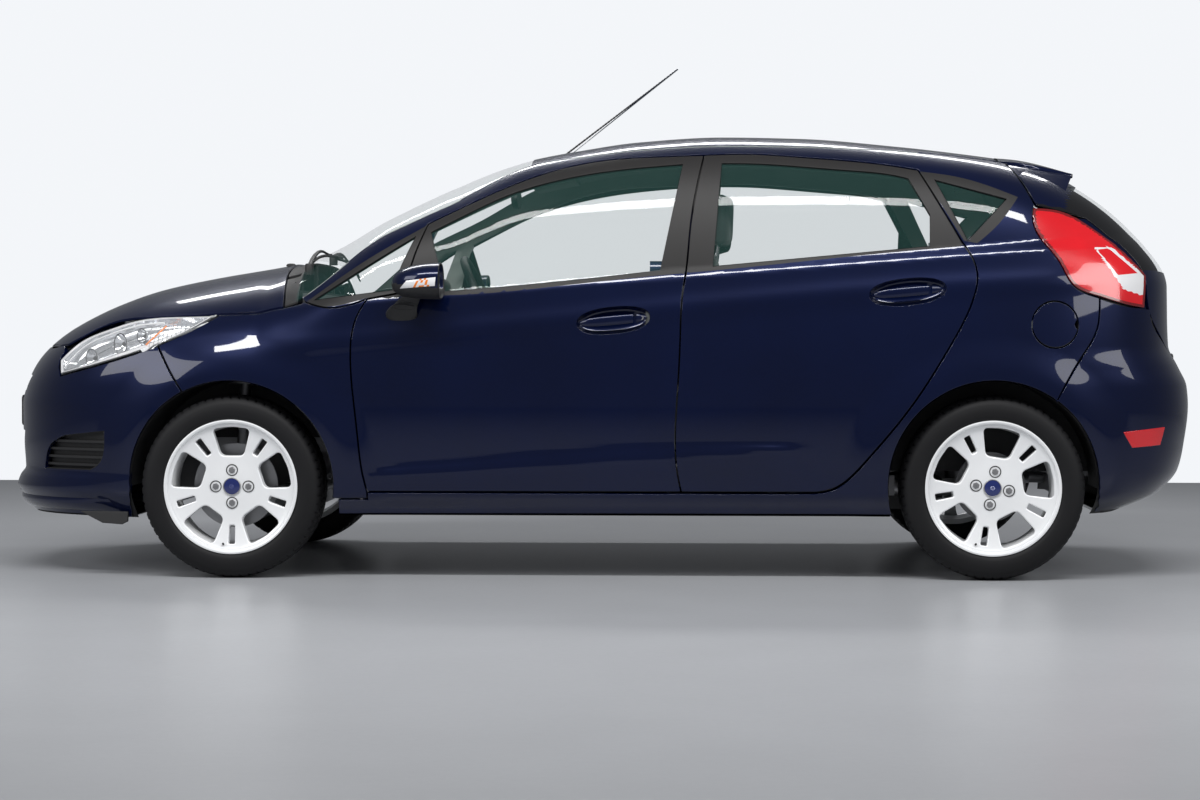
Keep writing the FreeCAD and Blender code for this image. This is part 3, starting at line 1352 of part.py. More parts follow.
def dashboard():
    """Dashboard with the column shroud and the console on the tunnel."""
    profile = [
        (fx(372), 900), (fx(470), 965), (fx(620), 960), (fx(690), 900), (fx(640), 760), (fx(560), 640),
        (fx(445), 605), (fx(372), 668)]
    face = Part.Face(Part.makePolygon([V(x, -654.7, z) for x, z in profile + profile[:1]]))
    dash = face.extrude(V(0, 1309.4, 0))
    wheel_at = V(*steering_centre)
    axis = steering_axis()
    column = rod(tuple(wheel_at - axis * 260), tuple(wheel_at - axis * 32), 30)
    stalk = rod(tuple(wheel_at - axis * 60), tuple(wheel_at), column_radius)
    console = box(fx(470), fx(700), -100, 100, 334.3, 700)
    tray = box(fx(560), rx(-900), -100, 100, 334.3, 540)
    return dash.fuse([column, stalk, console, tray])


def steering_axis():
    tilt = math.radians(column_tilt)
    return V(math.cos(tilt), 0, math.sin(tilt))


def steering_wheel():
    """Ring, boss and three spokes, turning on the column."""
    centre = V(*steering_centre)
    axis = steering_axis()
    ring = Part.makeTorus(steering_wheel_radius - 14, 14, centre, axis)
    boss = Part.makeCylinder(55, 40, centre - axis * 26, axis)
    solid = ring.fuse(boss)
    across = V(0, 1, 0)
    up = axis.cross(across)
    for angle in (0, 180, 270):
        a = math.radians(angle)
        end = centre + (across * math.cos(a) - up * math.sin(a)) * (steering_wheel_radius - 16)
        solid = solid.fuse(rod(tuple(centre), tuple(end), 12))
    return solid.cut(rod(tuple(centre - axis * 80), tuple(centre + axis * 1), column_radius + pin_clearance))


def seat_profile(x, z, back_top, y, width):
    """One seat as a cushion, a leaning back and a head restraint."""
    points = [(x, z), (x + 20, z + 130), (x + 430, z + 90), (x + 640, back_top), (x + 740, back_top),
              (x + 560, z - 10)]
    face = Part.Face(Part.makePolygon([V(a, y - width / 2, b) for a, b in points + points[:1]]))
    seat = face.extrude(V(0, width, 0))
    head = box(x + 660, x + 750, y - 130, y + 130, back_top - 5, back_top + 200)
    return seat.fuse(head)


def front_seats():
    seat = seat_profile(fx(900), 380, 1080, -360, 500)
    for y in (-510, -210):
        seat = seat.fuse(box(fx(960), fx(1400), y - 15, y + 15, 214 + floor_thickness + seat_gap, 400))
    return both(seat)


def rear_seat():
    """Bench with a leaning back, between the wheel wells."""
    points = [
        (rx(-440), 440), (rx(-430), 570), (rx(-60), 540), (rx(90), 1000), (rx(180), 1000), (rx(60), 430)]
    half = rear_well_inner - 8
    face = Part.Face(Part.makePolygon([V(a, -half, b) for a, b in points + points[:1]]))
    return face.extrude(V(0, 2 * half, 0))


def fuel_tank():
    return box(rx(-352), rx(-160), -480, 10, 212, 329)


def mirror():
    """Door mirror: a bowl with a flat glass side and a foot on the door."""
    bowl = Part.makeSphere(1.0)
    shaping = FreeCAD.Matrix()
    shaping.scale(mirror_length, mirror_width / 2, mirror_height / 2)
    bowl = bowl.transformGeometry(shaping)
    bowl.translate(V(fx(700), -892, 972))
    bowl = bowl.cut(box(fx(706), fx(900), -1100, -700, 800, 1200))
    root = (fx(582), 2 - side(fx(582), 868), 868)
    foot = path_rod([root, (fx(592), -846, 905), (fx(640), -868, 940)], 15)
    return bowl.fuse(foot).common(Walls.cabin(-160, 0))


def export(name, shape):
    shape.exportStep("parts/" + name + ".step")
    print(name, len(shape.Solids), shape.isValid(), round(shape.Volume / 1e6, 2))


def main():
    os.makedirs("parts", exist_ok=True)
    left_side = body_side()
    export("body_side_left", with_filler(left_side))
    export("body_side_right", mirrored(left_side))
    export("roof_panel", roof_panel())
    export("windscreen", windscreen())
    export("cowl", cowl())
    export("front_wings", both(wing()))
    export("front_bumper", front_bumper())
    export("front_grille", grille())
    export("rear_bumper", rear_bumper())
    export("headlamps", headlamps())
    export("tail_lamps", tail_lamps())
    panes = [door_glass(quarter_window), door_glass(triangle_window)]
    export("fixed_side_glass", Part.makeCompound(panes + [mirrored(p) for p in panes]))
    for name, door, window in (("front_door", front_door(), front_window),
                               ("rear_door", rear_door(), rear_window)):
        pane = door_glass(window)
        export(name + "_left", door)
        export(name + "_right", mirrored(door))
        export(name + "_glass_left", pane)
        export(name + "_glass_right", mirrored(pane))
    left_mirror = mirror()
    export("mirror_left", left_mirror)
    export("mirror_right", mirrored(left_mirror))
    export("bonnet", bonnet())
    export("tailgate", tailgate())
    export("rear_screen", rear_screen())
    export("fuel_flap", fuel_flap())
    export("floor_pan", floor_pan())
    export("front_structure", front_structure())
    export("front_wells", front_wells())
    export("rear_wells", rear_wells())
    for s, name in ((-1, "left"), (1, "right")):
        export("tyre_front_" + name, tyre(s, front_axle_x, track_front))
        export("tyre_rear_" + name, tyre(s, rear_axle_x, track_rear))
        export("rim_front_" + name, rim(s, front_axle_x, track_front, brake_disc_radius))
        export("rim_rear_" + name, rim(s, rear_axle_x, track_rear, brake_drum_radius))
    upright = knuckle()
    export("knuckle_left", upright)
    export("knuckle_right", mirrored(upright))
    export("rear_axle", rear_axle())
    export("front_subframe", front_subframe())
    export("engine_block", engine_block())
    export("fuel_tank", fuel_tank())
    export("radiator", radiator())
    export("exhaust", exhaust())
    export("dashboard", dashboard())
    export("steering_wheel", steering_wheel())
    export("front_seats", front_seats())
    export("rear_seat", rear_seat())


main()
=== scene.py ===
import json
import math
import bmesh
import bpy
import numpy as np
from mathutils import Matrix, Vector
from mathutils.geometry import delaunay_2d_cdt

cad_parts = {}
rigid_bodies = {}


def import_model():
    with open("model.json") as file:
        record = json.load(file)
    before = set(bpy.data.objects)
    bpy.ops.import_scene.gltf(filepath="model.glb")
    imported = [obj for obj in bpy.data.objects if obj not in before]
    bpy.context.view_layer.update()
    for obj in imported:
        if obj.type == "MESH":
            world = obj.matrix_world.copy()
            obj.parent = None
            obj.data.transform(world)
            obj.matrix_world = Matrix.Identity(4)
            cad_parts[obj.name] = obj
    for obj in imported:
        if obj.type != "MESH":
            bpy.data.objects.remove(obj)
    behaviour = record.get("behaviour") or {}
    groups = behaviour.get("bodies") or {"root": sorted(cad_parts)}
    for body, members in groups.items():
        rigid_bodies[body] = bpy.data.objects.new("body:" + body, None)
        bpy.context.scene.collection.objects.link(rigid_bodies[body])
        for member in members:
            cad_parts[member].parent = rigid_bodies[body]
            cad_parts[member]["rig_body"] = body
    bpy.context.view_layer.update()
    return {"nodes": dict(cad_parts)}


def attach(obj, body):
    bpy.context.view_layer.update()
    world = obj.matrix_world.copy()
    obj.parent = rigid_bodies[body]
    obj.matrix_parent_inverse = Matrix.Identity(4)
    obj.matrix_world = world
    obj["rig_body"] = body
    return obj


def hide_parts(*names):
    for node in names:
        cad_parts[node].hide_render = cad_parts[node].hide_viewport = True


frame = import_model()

print("frame loaded")

# The car in millimetres: front towards -X, its left towards -Y. Meshes are written in metres.
car = dict(length=4056.0, halfWidth=861.0, height=1476.0, frontAxle=-1166.0, rearAxle=1323.0, wheelZ=300.5,
           belt=905.0, arch=340.0, gap=5.0)
noseX = -car["length"] / 2
tailX = car["length"] / 2
high = car["height"]
sheetFoot = 208.0
hands = (("left", False), ("right", True))


def fx(d):
    return car["frontAxle"] + d


def rx(d):
    return car["rearAxle"] + d


def turnAngles(count):
    return np.linspace(0, 2 * np.pi, count, endpoint=False)


def ease(t):
    t = np.clip(t, 0, 1)
    return t * t * (3 - 2 * t)


def along(points, x):
    # cubic line through a few points, its slopes the harmonic mean of the two chords, straight beyond the ends
    px, py = np.array(points, float).T
    chord = np.diff(py) / np.diff(px)
    both = chord[1:] * chord[:-1]
    total = np.where(chord[1:] + chord[:-1] == 0, 1, chord[1:] + chord[:-1])
    slope = np.concatenate([chord[:1], np.where(both <= 0, 0, 2 * both / total), chord[-1:]])
    x = np.asarray(x, float)
    i = np.clip(np.searchsorted(px, x) - 1, 0, len(chord) - 1)
    step = px[i + 1] - px[i]
    t = np.clip((x - px[i]) / step, 0, 1)
    y = (2 * t**3 - 3 * t**2 + 1) * py[i] + (t**3 - 2 * t**2 + t) * slope[i] * step
    y = y + (3 * t**2 - 2 * t**3) * py[i + 1] + (t**3 - t**2) * slope[i + 1] * step
    return y + np.minimum(x - px[0], 0) * slope[0] + np.maximum(x - px[-1], 0) * slope[-1]


# Middle line of the bonnet, windscreen and roof as (x, z), and of the nose and tail as (z, x)
topLine = [(noseX + 53, 690), (noseX + 93, 737), (noseX + 166, 795), (noseX + 239, 841), (noseX + 384, 910),
           (noseX + 529, 960), (fx(-152), 999), (fx(66), 1036), (fx(136), 1049), (fx(181), 1057),
           (fx(295), 1106), (fx(473), 1199), (fx(686), 1303), (fx(828), high - 117), (fx(970), high - 76),
           (fx(1126), high - 46), (fx(1331), high - 16), (fx(1603), high), (rx(-614), high - 6),
           (rx(-276), high - 36), (rx(28), high - 72), (rx(177), high - 88), (rx(777), high - 96)]
noseLine = [(150, noseX + 98), (250, noseX + 18), (285, noseX), (315, noseX + 10), (345, noseX + 30),
            (450, noseX + 23), (560, noseX + 22), (620, noseX + 35), (680, noseX + 54), (760, noseX + 73),
            (1000, noseX + 98)]
tailLine = [(150, tailX - 388), (210, tailX - 243), (271, tailX - 103), (349, tailX - 33), (427, tailX - 15),
            (560, tailX), (625, tailX - 5), (692, tailX - 35), (763, tailX - 68), (860, tailX - 71),
            (960, tailX - 71), (1010, tailX - 82), (1098, tailX - 142), (1198, tailX - 238),
            (high - 186, tailX - 360), (high - 91, tailX - 528), (high + 4, tailX - 698)]
swageLine = [(fx(266), 768), (fx(726), 811), (fx(1474), 886), (rx(-403), 940), (rx(277), 978)]
wedgeTop = [(fx(446), 345), (fx(562), 378), (fx(726), 392), (fx(1052), 425), (fx(1539), 452), (fx(1926), 452)]
wedgeFoot = [(fx(446), 340), (fx(726), 352), (fx(1052), 372), (fx(1539), 405), (fx(1926), 446)]


def belt(x):
    return car["belt"] + 0.078 * (x - fx(238))


def wedge(x, z):
    # ledge that falls over a few millimetres and then fades out below, faded at both ends of the doors
    upper = along(wedgeTop, x)
    lower = along(wedgeFoot, x)
    fade = ease((x - fx(436)) / 120) * ease((fx(1946) - x) / 200)
    return 9 * fade * (ease((upper - z) / np.maximum(14, upper - lower)) - ease((lower - z) / 130))


def side(x, z):
    # half width: a slow bulge in length and height, less the tuck at waist and sill, plus the arch flares, the
    # crease and the wedge, closed by a rounded power curve over the top, round the nose and round the tail
    x, z = np.broadcast_arrays(np.asarray(x, float), np.asarray(z, float))
    top = along(topLine, x)
    w = car["halfWidth"] - 13 - 12 * ((x - fx(1266)) / 1500) ** 2
    up = ((z - 620) / 350) ** 2
    w = w - np.where(z > 620, 36 * up, 22 * up + 22 * ease((285 - z) / 80))
    w = w - 10 * ease((z - belt(x) + 25) / 45) * ease((x - fx(16)) / 250)
    for axle in (car["frontAxle"], car["rearAxle"]):
        r = np.hypot(x - axle, z - car["wheelZ"])
        w = w + 15 * (1 - ease((r - car["arch"] - 30) / 130))
    reach = (z - along(swageLine, x)) / 38
    w = w + 7 * np.exp(-reach * reach) * ease((x - fx(16)) / 250) * ease((rx(427) - x) / 250)
    w = w + wedge(x, z)
    cabin = ease((x - fx(66)) / 450)
    shoulder = 600 + (belt(x) - 660) * cabin
    power = 3 + 3 * cabin - 1.8 * ease((x - fx(100)) / 300) * ease((fx(1000) - x) / 300)
    t = np.clip((z - shoulder) / np.maximum(top - shoulder, 1), 0, 1)
    w = w * (1 - t**power) ** (1 / power)
    q = (fx(266) - x) / (fx(266) - along(noseLine, z))
    w = w * (1 - np.clip(q, 0, 1) ** 3) ** (1 / 3)
    p = (x - rx(-423)) / (along(tailLine, z) - rx(-423))
    w = w * (1 - np.clip(p, 0, 1) ** 4.5) ** (1 / 4.5)
    return np.where((z >= top) | (q >= 1) | (p >= 1), -1.0, w)


def crown(x, y):
    # height over a point of the plan, found by halving the interval in which the half width passes y
    x, y = np.broadcast_arrays(np.asarray(x, float), np.abs(np.asarray(y, float)))
    low = np.full(x.shape, 560.0)
    top = along(topLine, x)
    for _ in range(32):
        mid = (low + top) / 2
        wide = side(x, mid) > y
        low = np.where(wide, mid, low)
        top = np.where(wide, top, mid)
    return low


def endX(y, z, tail):
    # length at which the nose or the tail has a given half width, by halving again
    y, z = np.broadcast_arrays(np.abs(np.asarray(y, float)), np.asarray(z, float))
    inner = np.full(y.shape, rx(-300) if tail else fx(300))
    outer = np.full(y.shape, tailX + 5 if tail else noseX - 5)
    for _ in range(34):
        mid = (inner + outer) / 2
        wide = side(mid, z) > y
        inner = np.where(wide, mid, inner)
        outer = np.where(wide, outer, mid)
    return inner


def seam(x):
    pillar = along([(fx(200), 752), (fx(320), 725), (fx(700), 640), (fx(1000), 560)], x)
    roof = along([(fx(1000), 560), (rx(-600), 560), (rx(60), 505)], x)
    return np.where(x < fx(1000), pillar, roof)


def curve(points, spacing=9.0):
    # natural cubic line through the points by chord length, stepped evenly; two points give a straight line
    p = np.array(points, float)
    t = np.concatenate([[0], np.cumsum(np.linalg.norm(np.diff(p, axis=0), axis=1))])
    s = np.linspace(0, t[-1], max(2, int(t[-1] / spacing) + 1))
    n = len(p)
    h = np.diff(t)
    a = np.eye(n)
    b = np.zeros_like(p)
    i = np.arange(1, n - 1)
    a[i, i - 1], a[i, i], a[i, i + 1] = h[:-1], 2 * (h[:-1] + h[1:]), h[1:]
    rise = np.diff(p, axis=0) / h[:, None]
    b[1:-1] = 6 * np.diff(rise, axis=0)
    m = np.linalg.solve(a, b)
    k = np.clip(np.searchsorted(t, s) - 1, 0, n - 2)
    u, v, g = (s - t[k])[:, None], (t[k + 1] - s)[:, None], h[k][:, None]
    return (m[k] * v**3 + m[k + 1] * u**3) / (6 * g) + (p[k] / g - m[k] * g / 6) * v + (p[k + 1] / g -
            m[k + 1] * g / 6) * u


def loop(runs, grow=0.0, spacing=9.0):
    # closed outline of joined runs, moved outwards by a distance, turning anticlockwise
    return grown(anticlockwise(np.concatenate([curve(run, spacing)[:-1] for run in runs])), grow)


def straightRuns(points):
    return [[a, b] for a, b in zip(points, points[1:] + points[:1])]


def anticlockwise(p):
    after = np.roll(p, -1, 0)
    return p if (p[:, 0] * after[:, 1] - after[:, 0] * p[:, 1]).sum() > 0 else p[::-1]


def grown(p, grow):
    # each point of an anticlockwise outline moves along the mean of its two sides' outward normals
    step = np.roll(p, -1, 0) - p
    out = np.stack([step[:, 1], -step[:, 0]], 1) / np.maximum(np.linalg.norm(step, axis=1), 1e-6)[:, None]
    last = np.roll(out, 1, 0)
    share = grow / np.maximum(0.5, 1 + (out * last).sum(1))
    return p + (out + last) * share[:, None]


def circle(x, z, r, count):
    a = turnAngles(count)
    return np.stack([x + r * np.cos(a), z + r * np.sin(a)], 1)


def inside(points, ring):
    # even-odd rule: how often a ray towards +u crosses the outline
    hit = np.zeros(len(points), bool)
    for (ax, ay), (bx, by) in zip(ring, np.roll(ring, -1, 0)):
        if ay != by:
            cross = (points[:, 1] > min(ay, by)) & (points[:, 1] <= max(ay, by))
            hit ^= cross & (points[:, 0] < ax + (points[:, 1] - ay) * (bx - ax) / (by - ay))
    return hit


class Surface:
    # flat sheet (u, v) laid on the body; toFlat takes a view of the body to the sheet, place lays it in space
    def __init__(self, toFlat, place, turn=1.0):
        self.toFlat = toFlat
        self.place = place
        self.turn = turn

    def at(self, uv):
        # place and unit normal, which is the cross product of the two steps along the sheet
        h = 1.5
        p = self.place(uv)
        du = self.place(uv + [h, 0]) - self.place(uv - [h, 0])
        dv = self.place(uv + [0, h]) - self.place(uv - [0, h])
        n = np.cross(du, dv) * self.turn
        return p, n / np.maximum(np.linalg.norm(n, axis=1), 1e-9)[:, None]


def sideSurface(low, topOf, depth=0.0):
    # sheet rows crowd towards the top line, where the body turns over: z = low + rise * sin(v) ** 0.9
    def rise(x):
        return low, np.maximum(topOf(x) - low, 1)

    def toFlat(p):
        base, tall = rise(p[:, 0])
        t = np.clip((p[:, 1] - base) / tall, 0, 1)
        return np.stack([p[:, 0], np.arcsin(t ** (1 / 0.9)) * 2000 / np.pi], 1)

    def place(q):
        base, tall = rise(q[:, 0])
        z = base + tall * np.sin(np.clip(q[:, 1], 0.5, 1000) * np.pi / 2000) ** 0.9
        return np.stack([q[:, 0], depth - np.maximum(side(q[:, 0], z), 0), z], 1)
    return Surface(toFlat, place)


def topSurface(depth=0.0):
    return Surface(lambda p: p, lambda q: np.stack([q[:, 0], q[:, 1], crown(q[:, 0], q[:, 1]) - depth], 1))


def endSurface(tail, start, lowZ, highZ, depth=0.0):
    # sheet of (length round the plan, z), measured from the middle plane; fine rows are worked out once
    rows = np.arange(lowZ, highZ + 4.0, 4.0)
    t = np.linspace(0, 1, 301)
    tip = endX(np.zeros_like(rows), rows, tail)
    x = start + (tip - start)[:, None] * np.sin(t * np.pi / 2)
    y = np.maximum(side(x, rows[:, None]), 0)
    y[:, -1] = 0
    arc = np.concatenate([np.zeros((len(rows), 1)), np.cumsum(np.hypot(np.diff(x), np.diff(y)), 1)], 1)
    arc = arc[:, -1:] - arc
    even = np.linspace(0, 1, 301)
    full = arc[:, 0]
    xs = np.array([np.interp(even * f, a[::-1], b[::-1]) for f, a, b in zip(full, arc, x)])
    ys = np.array([np.interp(even * f, a[::-1], b[::-1]) for f, a, b in zip(full, arc, y)])

    def row(z):
        k = np.clip((z - lowZ) / 4.0, 0, len(rows) - 1.001)
        i = k.astype(int)
        return i, (k - i)

    def look(table, s, z):
        i, f = row(z)
        total = full[i] * (1 - f) + full[i + 1] * f
        g = np.clip(np.abs(s) / total * 300, 0, 299.999)
        j = g.astype(int)
        g = g - j
        a = table[i, j] * (1 - g) + table[i, j + 1] * g
        b = table[i + 1, j] * (1 - g) + table[i + 1, j + 1] * g
        return a * (1 - f) + b * f

    def place(q):
        s, z = q[:, 0], np.clip(q[:, 1], lowZ, highZ)
        x, y = look(xs, s, z), look(ys, s, z)
        slope = np.abs(look(ys, np.abs(s) + 3, z) - look(ys, np.abs(s), z)) / 3
        front = slope > 0.7
        x = np.where(front, endX(y, z, tail), x)
        y = np.where(front, y, np.maximum(side(x, z), 0)) * np.sign(s)
        return np.stack([x, y, z], 1)

    def fromSide(p):
        i = np.round(row(p[:, 1])[0]).astype(int)
        s = [np.interp((px - start) * (1 if tail else -1), (xs[k][::-1] - start) * (1 if tail else -1),
                       (even * full[k])[::-1]) for px, k in zip(p[:, 0], i)]
        return np.stack([-np.array(s), p[:, 1]], 1)

    def fromEnd(p):
        i = row(p[:, 1])[0]
        s = [np.interp(abs(py), ys[k], even * full[k]) * np.sign(py) for py, k in zip(p[:, 0], i)]
        return np.stack([np.array(s), p[:, 1]], 1)
    made = Surface(fromSide, place, 1.0 if tail else -1.0)
    made.fromEnd = fromEnd
    if depth:
        made.place = lambda q: sunk(Surface(None, place), q, depth, tail)
    return made


def sunk(surface, q, depth, tail):
    p, n = surface.at(q)
    out = np.where(n[:, :1] * (1 if tail else -1) > 0, 1, -1)
    return p - n * out * depth


def trimmed(surface, outer, holes=(), lines=(), step=(14.0, 8.0), rim=1.6, hem=8.0, zone=None):
    # an even grid inside the outline, joined by Delaunay triangles, then a rolled edge: a quarter circle of the
    # rim radius round every outline, and a hem straight down
    flat = []
    for ring in [outer] + list(holes):
        ring = surface.toFlat(ring) if surface.toFlat else ring
        flat.append(grown(anticlockwise(ring), rim if flat else -rim))
    cuts = [surface.toFlat(r) if surface.toFlat else r for r in lines]
    lo, hi = flat[0].min(0), flat[0].max(0)
    u, v = np.meshgrid(np.arange(lo[0] + step[0] / 2, hi[0], step[0]),
                       np.arange(lo[1] + step[1] / 2, hi[1], step[1]))
    grid = np.stack([u.ravel(), v.ravel()], 1)
    keep = inside(grid, flat[0])
    for ring in flat[1:]:
        keep &= ~inside(grid, ring)
    grid = grid[keep]
    near = np.concatenate(flat + cuts)
    size = np.array(step)
    far = np.ones(len(grid), bool)
    for part in np.array_split(np.arange(len(grid)), max(1, len(grid) // 2000)):
        d = np.abs(grid[part, None] - near[None]) / size
        far[part] = (d.max(2) > 0.45).all(1)
    grid = grid[far]
    points = np.concatenate(flat + cuts + [grid])
    edges = []
    at = 0
    for ring in flat:
        n = len(ring)
        edges += [(at + i, at + (i + 1) % n) for i in range(n)]
        at += n
    for line in cuts:
        edges += [(at + i, at + i + 1) for i in range(len(line) - 1)]
        at += len(line)
    scale = np.array([1.0, step[0] / step[1]])
    made = delaunay_2d_cdt([Vector(p) for p in (points * scale).tolist()], edges, [], 0, 1e-3)
    uv = np.array([tuple(p) for p in made[0]]) / scale
    tri = np.array(made[2])
    mid = uv[tri].mean(1)
    keep = inside(mid, flat[0])
    for ring in flat[1:]:
        keep &= ~inside(mid, ring)
    tri = tri[keep]
    p, n = surface.at(uv)
    faceNormal = np.cross(p[tri[:, 1]] - p[tri[:, 0]], p[tri[:, 2]] - p[tri[:, 0]])
    if (faceNormal * n[tri[:, 0]]).sum() < 0:
        tri = tri[:, ::-1]
    mark = zone(p[tri].mean(1)) if zone else np.zeros(len(tri), int)
    meshes = [(p, n, [tuple(t) for t in tri.tolist()], mark.tolist())]
    for k, ring in enumerate(flat):
        rp, rn = surface.at(ring)
        outward = grown(ring, 1.0 if k == 0 else -1.0)
        away = surface.place(outward) - rp
        t = np.roll(rp, -1, 0) - np.roll(rp, 1, 0)
        b = np.cross(t, rn)
        b /= np.maximum(np.linalg.norm(b, axis=1), 1e-9)[:, None]
        b *= np.where((b * away).sum(1) < 0, -1, 1)[:, None]
        a = np.array([0, 30, 60, 90, 90]) * np.pi / 180
        drop = np.array([0, 0, 0, 0, hem])
        rows = rp + b * rim * np.sin(a)[:, None, None] - rn * (rim * (1 - np.cos(a)) + drop)[:, None, None]
        ns = rn * np.cos(a)[:, None, None] + b * np.sin(a)[:, None, None]
        m = len(ring)
        i = np.arange(m)
        quads = np.concatenate([np.stack([r * m + i, r * m + (i + 1) % m, (r + 1) * m + (i + 1) % m,
                                          (r + 1) * m + i], 1) for r in range(4)])
        fp = rows.reshape(-1, 3)
        fn = np.cross(fp[quads[:, 1]] - fp[quads[:, 0]], fp[quads[:, 3]] - fp[quads[:, 0]])
        if (fn * ns.reshape(-1, 3)[quads[:, 0]]).sum() < 0:
            quads = quads[:, ::-1]
        edgeMark = zone(rp) if zone else np.zeros(m, int)
        meshes.append((fp, ns.reshape(-1, 3), [tuple(q) for q in quads.tolist()],
                       np.tile(edgeMark, 4).tolist()))
    return meshes


def placed(name, data):
    obj = bpy.data.objects.new(name, data)
    bpy.context.scene.collection.objects.link(obj)
    return obj


def build(name, body, materials, meshes, mirror=False, replaces=(), normals=True):
    # joins the pieces into one mesh object; a mirrored one has y and the turn of its faces reversed
    flip = -1.0 if mirror else 1.0
    at = 0
    ps, ns, faces, marks = [], [], [], []
    for p, n, f, m in meshes:
        ps.append(p * [1, flip, 1])
        ns.append((n if n is not None else np.zeros_like(p)) * [1, flip, 1])
        faces += [tuple(at + i for i in (q[::-1] if mirror else q)) for q in f]
        marks += m
        at += len(p)
    mesh = bpy.data.meshes.new(name)
    mesh.from_pydata((np.concatenate(ps) / 1000).tolist(), [], faces)
    for material in materials:
        mesh.materials.append(material)
    mesh.polygons.foreach_set("material_index", np.array(marks, np.int32))
    mesh.attributes.new("bent", "FLOAT_VECTOR", "POINT").data.foreach_set("vector",
            np.concatenate(ns).ravel())
    bm = bmesh.new()
    bm.from_mesh(mesh)
    bmesh.ops.remove_doubles(bm, verts=bm.verts, dist=2e-5)
    bmesh.ops.dissolve_degenerate(bm, edges=bm.edges, dist=1e-6)
    bm.to_mesh(mesh)
    bm.free()
    mesh.polygons.foreach_set("use_smooth", np.ones(len(mesh.polygons), bool))
    if normals:
        n = np.zeros(len(mesh.vertices) * 3)
        mesh.attributes["bent"].data.foreach_get("vector", n)
        mesh.normals_split_custom_set_from_vertices(n.reshape(-1, 3).tolist())
    mesh.attributes.remove(mesh.attributes["bent"])
    obj = placed(name, mesh)
    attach(obj, body)
    if replaces:
        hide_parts(*([replaces] if isinstance(replaces, str) else replaces))
    return obj


# materials
def material(name, colour, rough, metal=0.0, grain=0.0, grainSize=400.0, bump=0.0, tone=0.12, coat=0.0,
             **more):
    # base colour drifts between two tones on broad noise, fine noise gives the grain and breaks the gloss
    made = bpy.data.materials.new(name)
    made.use_nodes = True
    nodes, links = made.node_tree.nodes, made.node_tree.links
    shader = nodes["Principled BSDF"]
    place = nodes.new("ShaderNodeTexCoord")
    broad = nodes.new("ShaderNodeTexNoise")
    broad.inputs["Scale"].default_value = 3.0
    broad.inputs["Detail"].default_value = 4.0
    links.new(place.outputs["Object"], broad.inputs["Vector"])
    ramp = nodes.new("ShaderNodeValToRGB")
    low = [c * (1 - tone) for c in colour]
    lift = [min(1.0, c * (1 + tone)) for c in colour]
    ramp.color_ramp.elements[0].position = 0.3
    ramp.color_ramp.elements[0].color = (*low, 1)
    ramp.color_ramp.elements[1].position = 0.7
    ramp.color_ramp.elements[1].color = (*lift, 1)
    links.new(broad.outputs["Fac"], ramp.inputs["Fac"])
    links.new(ramp.outputs["Color"], shader.inputs["Base Color"])
    fine = nodes.new("ShaderNodeTexNoise")
    fine.inputs["Scale"].default_value = grainSize
    fine.inputs["Detail"].default_value = 3.0
    links.new(place.outputs["Object"], fine.inputs["Vector"])
    rub = nodes.new("ShaderNodeMapRange")
    rub.inputs["To Min"].default_value = max(0.0, rough - grain)
    rub.inputs["To Max"].default_value = min(1.0, rough + grain)
    links.new(fine.outputs["Fac"], rub.inputs["Value"])
    links.new(rub.outputs["Result"], shader.inputs["Roughness"])
    if bump:
        relief = nodes.new("ShaderNodeBump")
        relief.inputs["Strength"].default_value = bump
        relief.inputs["Distance"].default_value = 0.0006
        links.new(fine.outputs["Fac"], relief.inputs["Height"])
        links.new(relief.outputs["Normal"], shader.inputs["Normal"])
    shader.inputs["Metallic"].default_value = metal
    shader.inputs["Coat Weight"].default_value = coat
    shader.inputs["Coat Roughness"].default_value = 0.03
    for key, value in more.items():
        shader.inputs[key.replace("_", " ")].default_value = value
    return made


finish = dict(paint=material("navy paint", (0.0005, 0.0040, 0.030), 0.30, metal=0.4, grain=0.05,
                             grainSize=2500, coat=1.0, Coat_IOR=1.4, Specular_IOR_Level=0.12),
              frame=material("window frame", (0.017, 0.016, 0.016), 0.50, grain=0.06, grainSize=900,
                             bump=0.12, Specular_IOR_Level=0.3),
              black=material("black moulding", (0.012, 0.012, 0.013), 0.55, grain=0.08, grainSize=1200,
                             bump=0.3), gloss=material("black gloss trim", (0.008, 0.008, 0.009), 0.15,
                                                       grain=0.03), rubber=material("tyre rubber",
        (0.007, 0.007, 0.008), 0.60, grain=0.08, grainSize=700, bump=0.2, Specular_IOR_Level=0.25),
        alloy=material("silver wheel", (0.86, 0.87, 0.88), 0.36, metal=0.15, grain=0.04, grainSize=1500,
                       tone=0.03, coat=0.5), steel=material("bare steel", (0.33, 0.33, 0.34), 0.42,
                                                            metal=0.9, grain=0.12, grainSize=300, bump=0.15),
        chrome=material("chrome", (0.86, 0.87, 0.88), 0.06, metal=1.0, grain=0.02, tone=0.03),
        engine=material("cast metal", (0.16, 0.16, 0.165), 0.6, metal=0.5, grain=0.1, grainSize=500,
                        bump=0.5), capBlue=material("centre cap", (0.01, 0.02, 0.12), 0.2, coat=1.0),
        cloth=material("seat cloth", (0.030, 0.033, 0.034), 0.9, grain=0.05, grainSize=1800, bump=0.7,
                       Sheen_Weight=0.35), trim=material("cabin trim", (0.075, 0.08, 0.078), 0.7, grain=0.08,
                                                         grainSize=1100, bump=0.35),
        roofCloth=material("roof lining", (0.30, 0.33, 0.31), 0.9, grain=0.05, grainSize=1500, bump=0.3), )
print("materials made")


def pane(name, colour, alpha):
    # clear sheet: the shader's own alpha lets the light through, and a thin coat keeps the sharp reflection
    made = material(name, colour, 0.02, grain=0.01, tone=0.03, coat=1.0, Alpha=alpha)
    made.surface_render_method = "BLENDED"
    return made


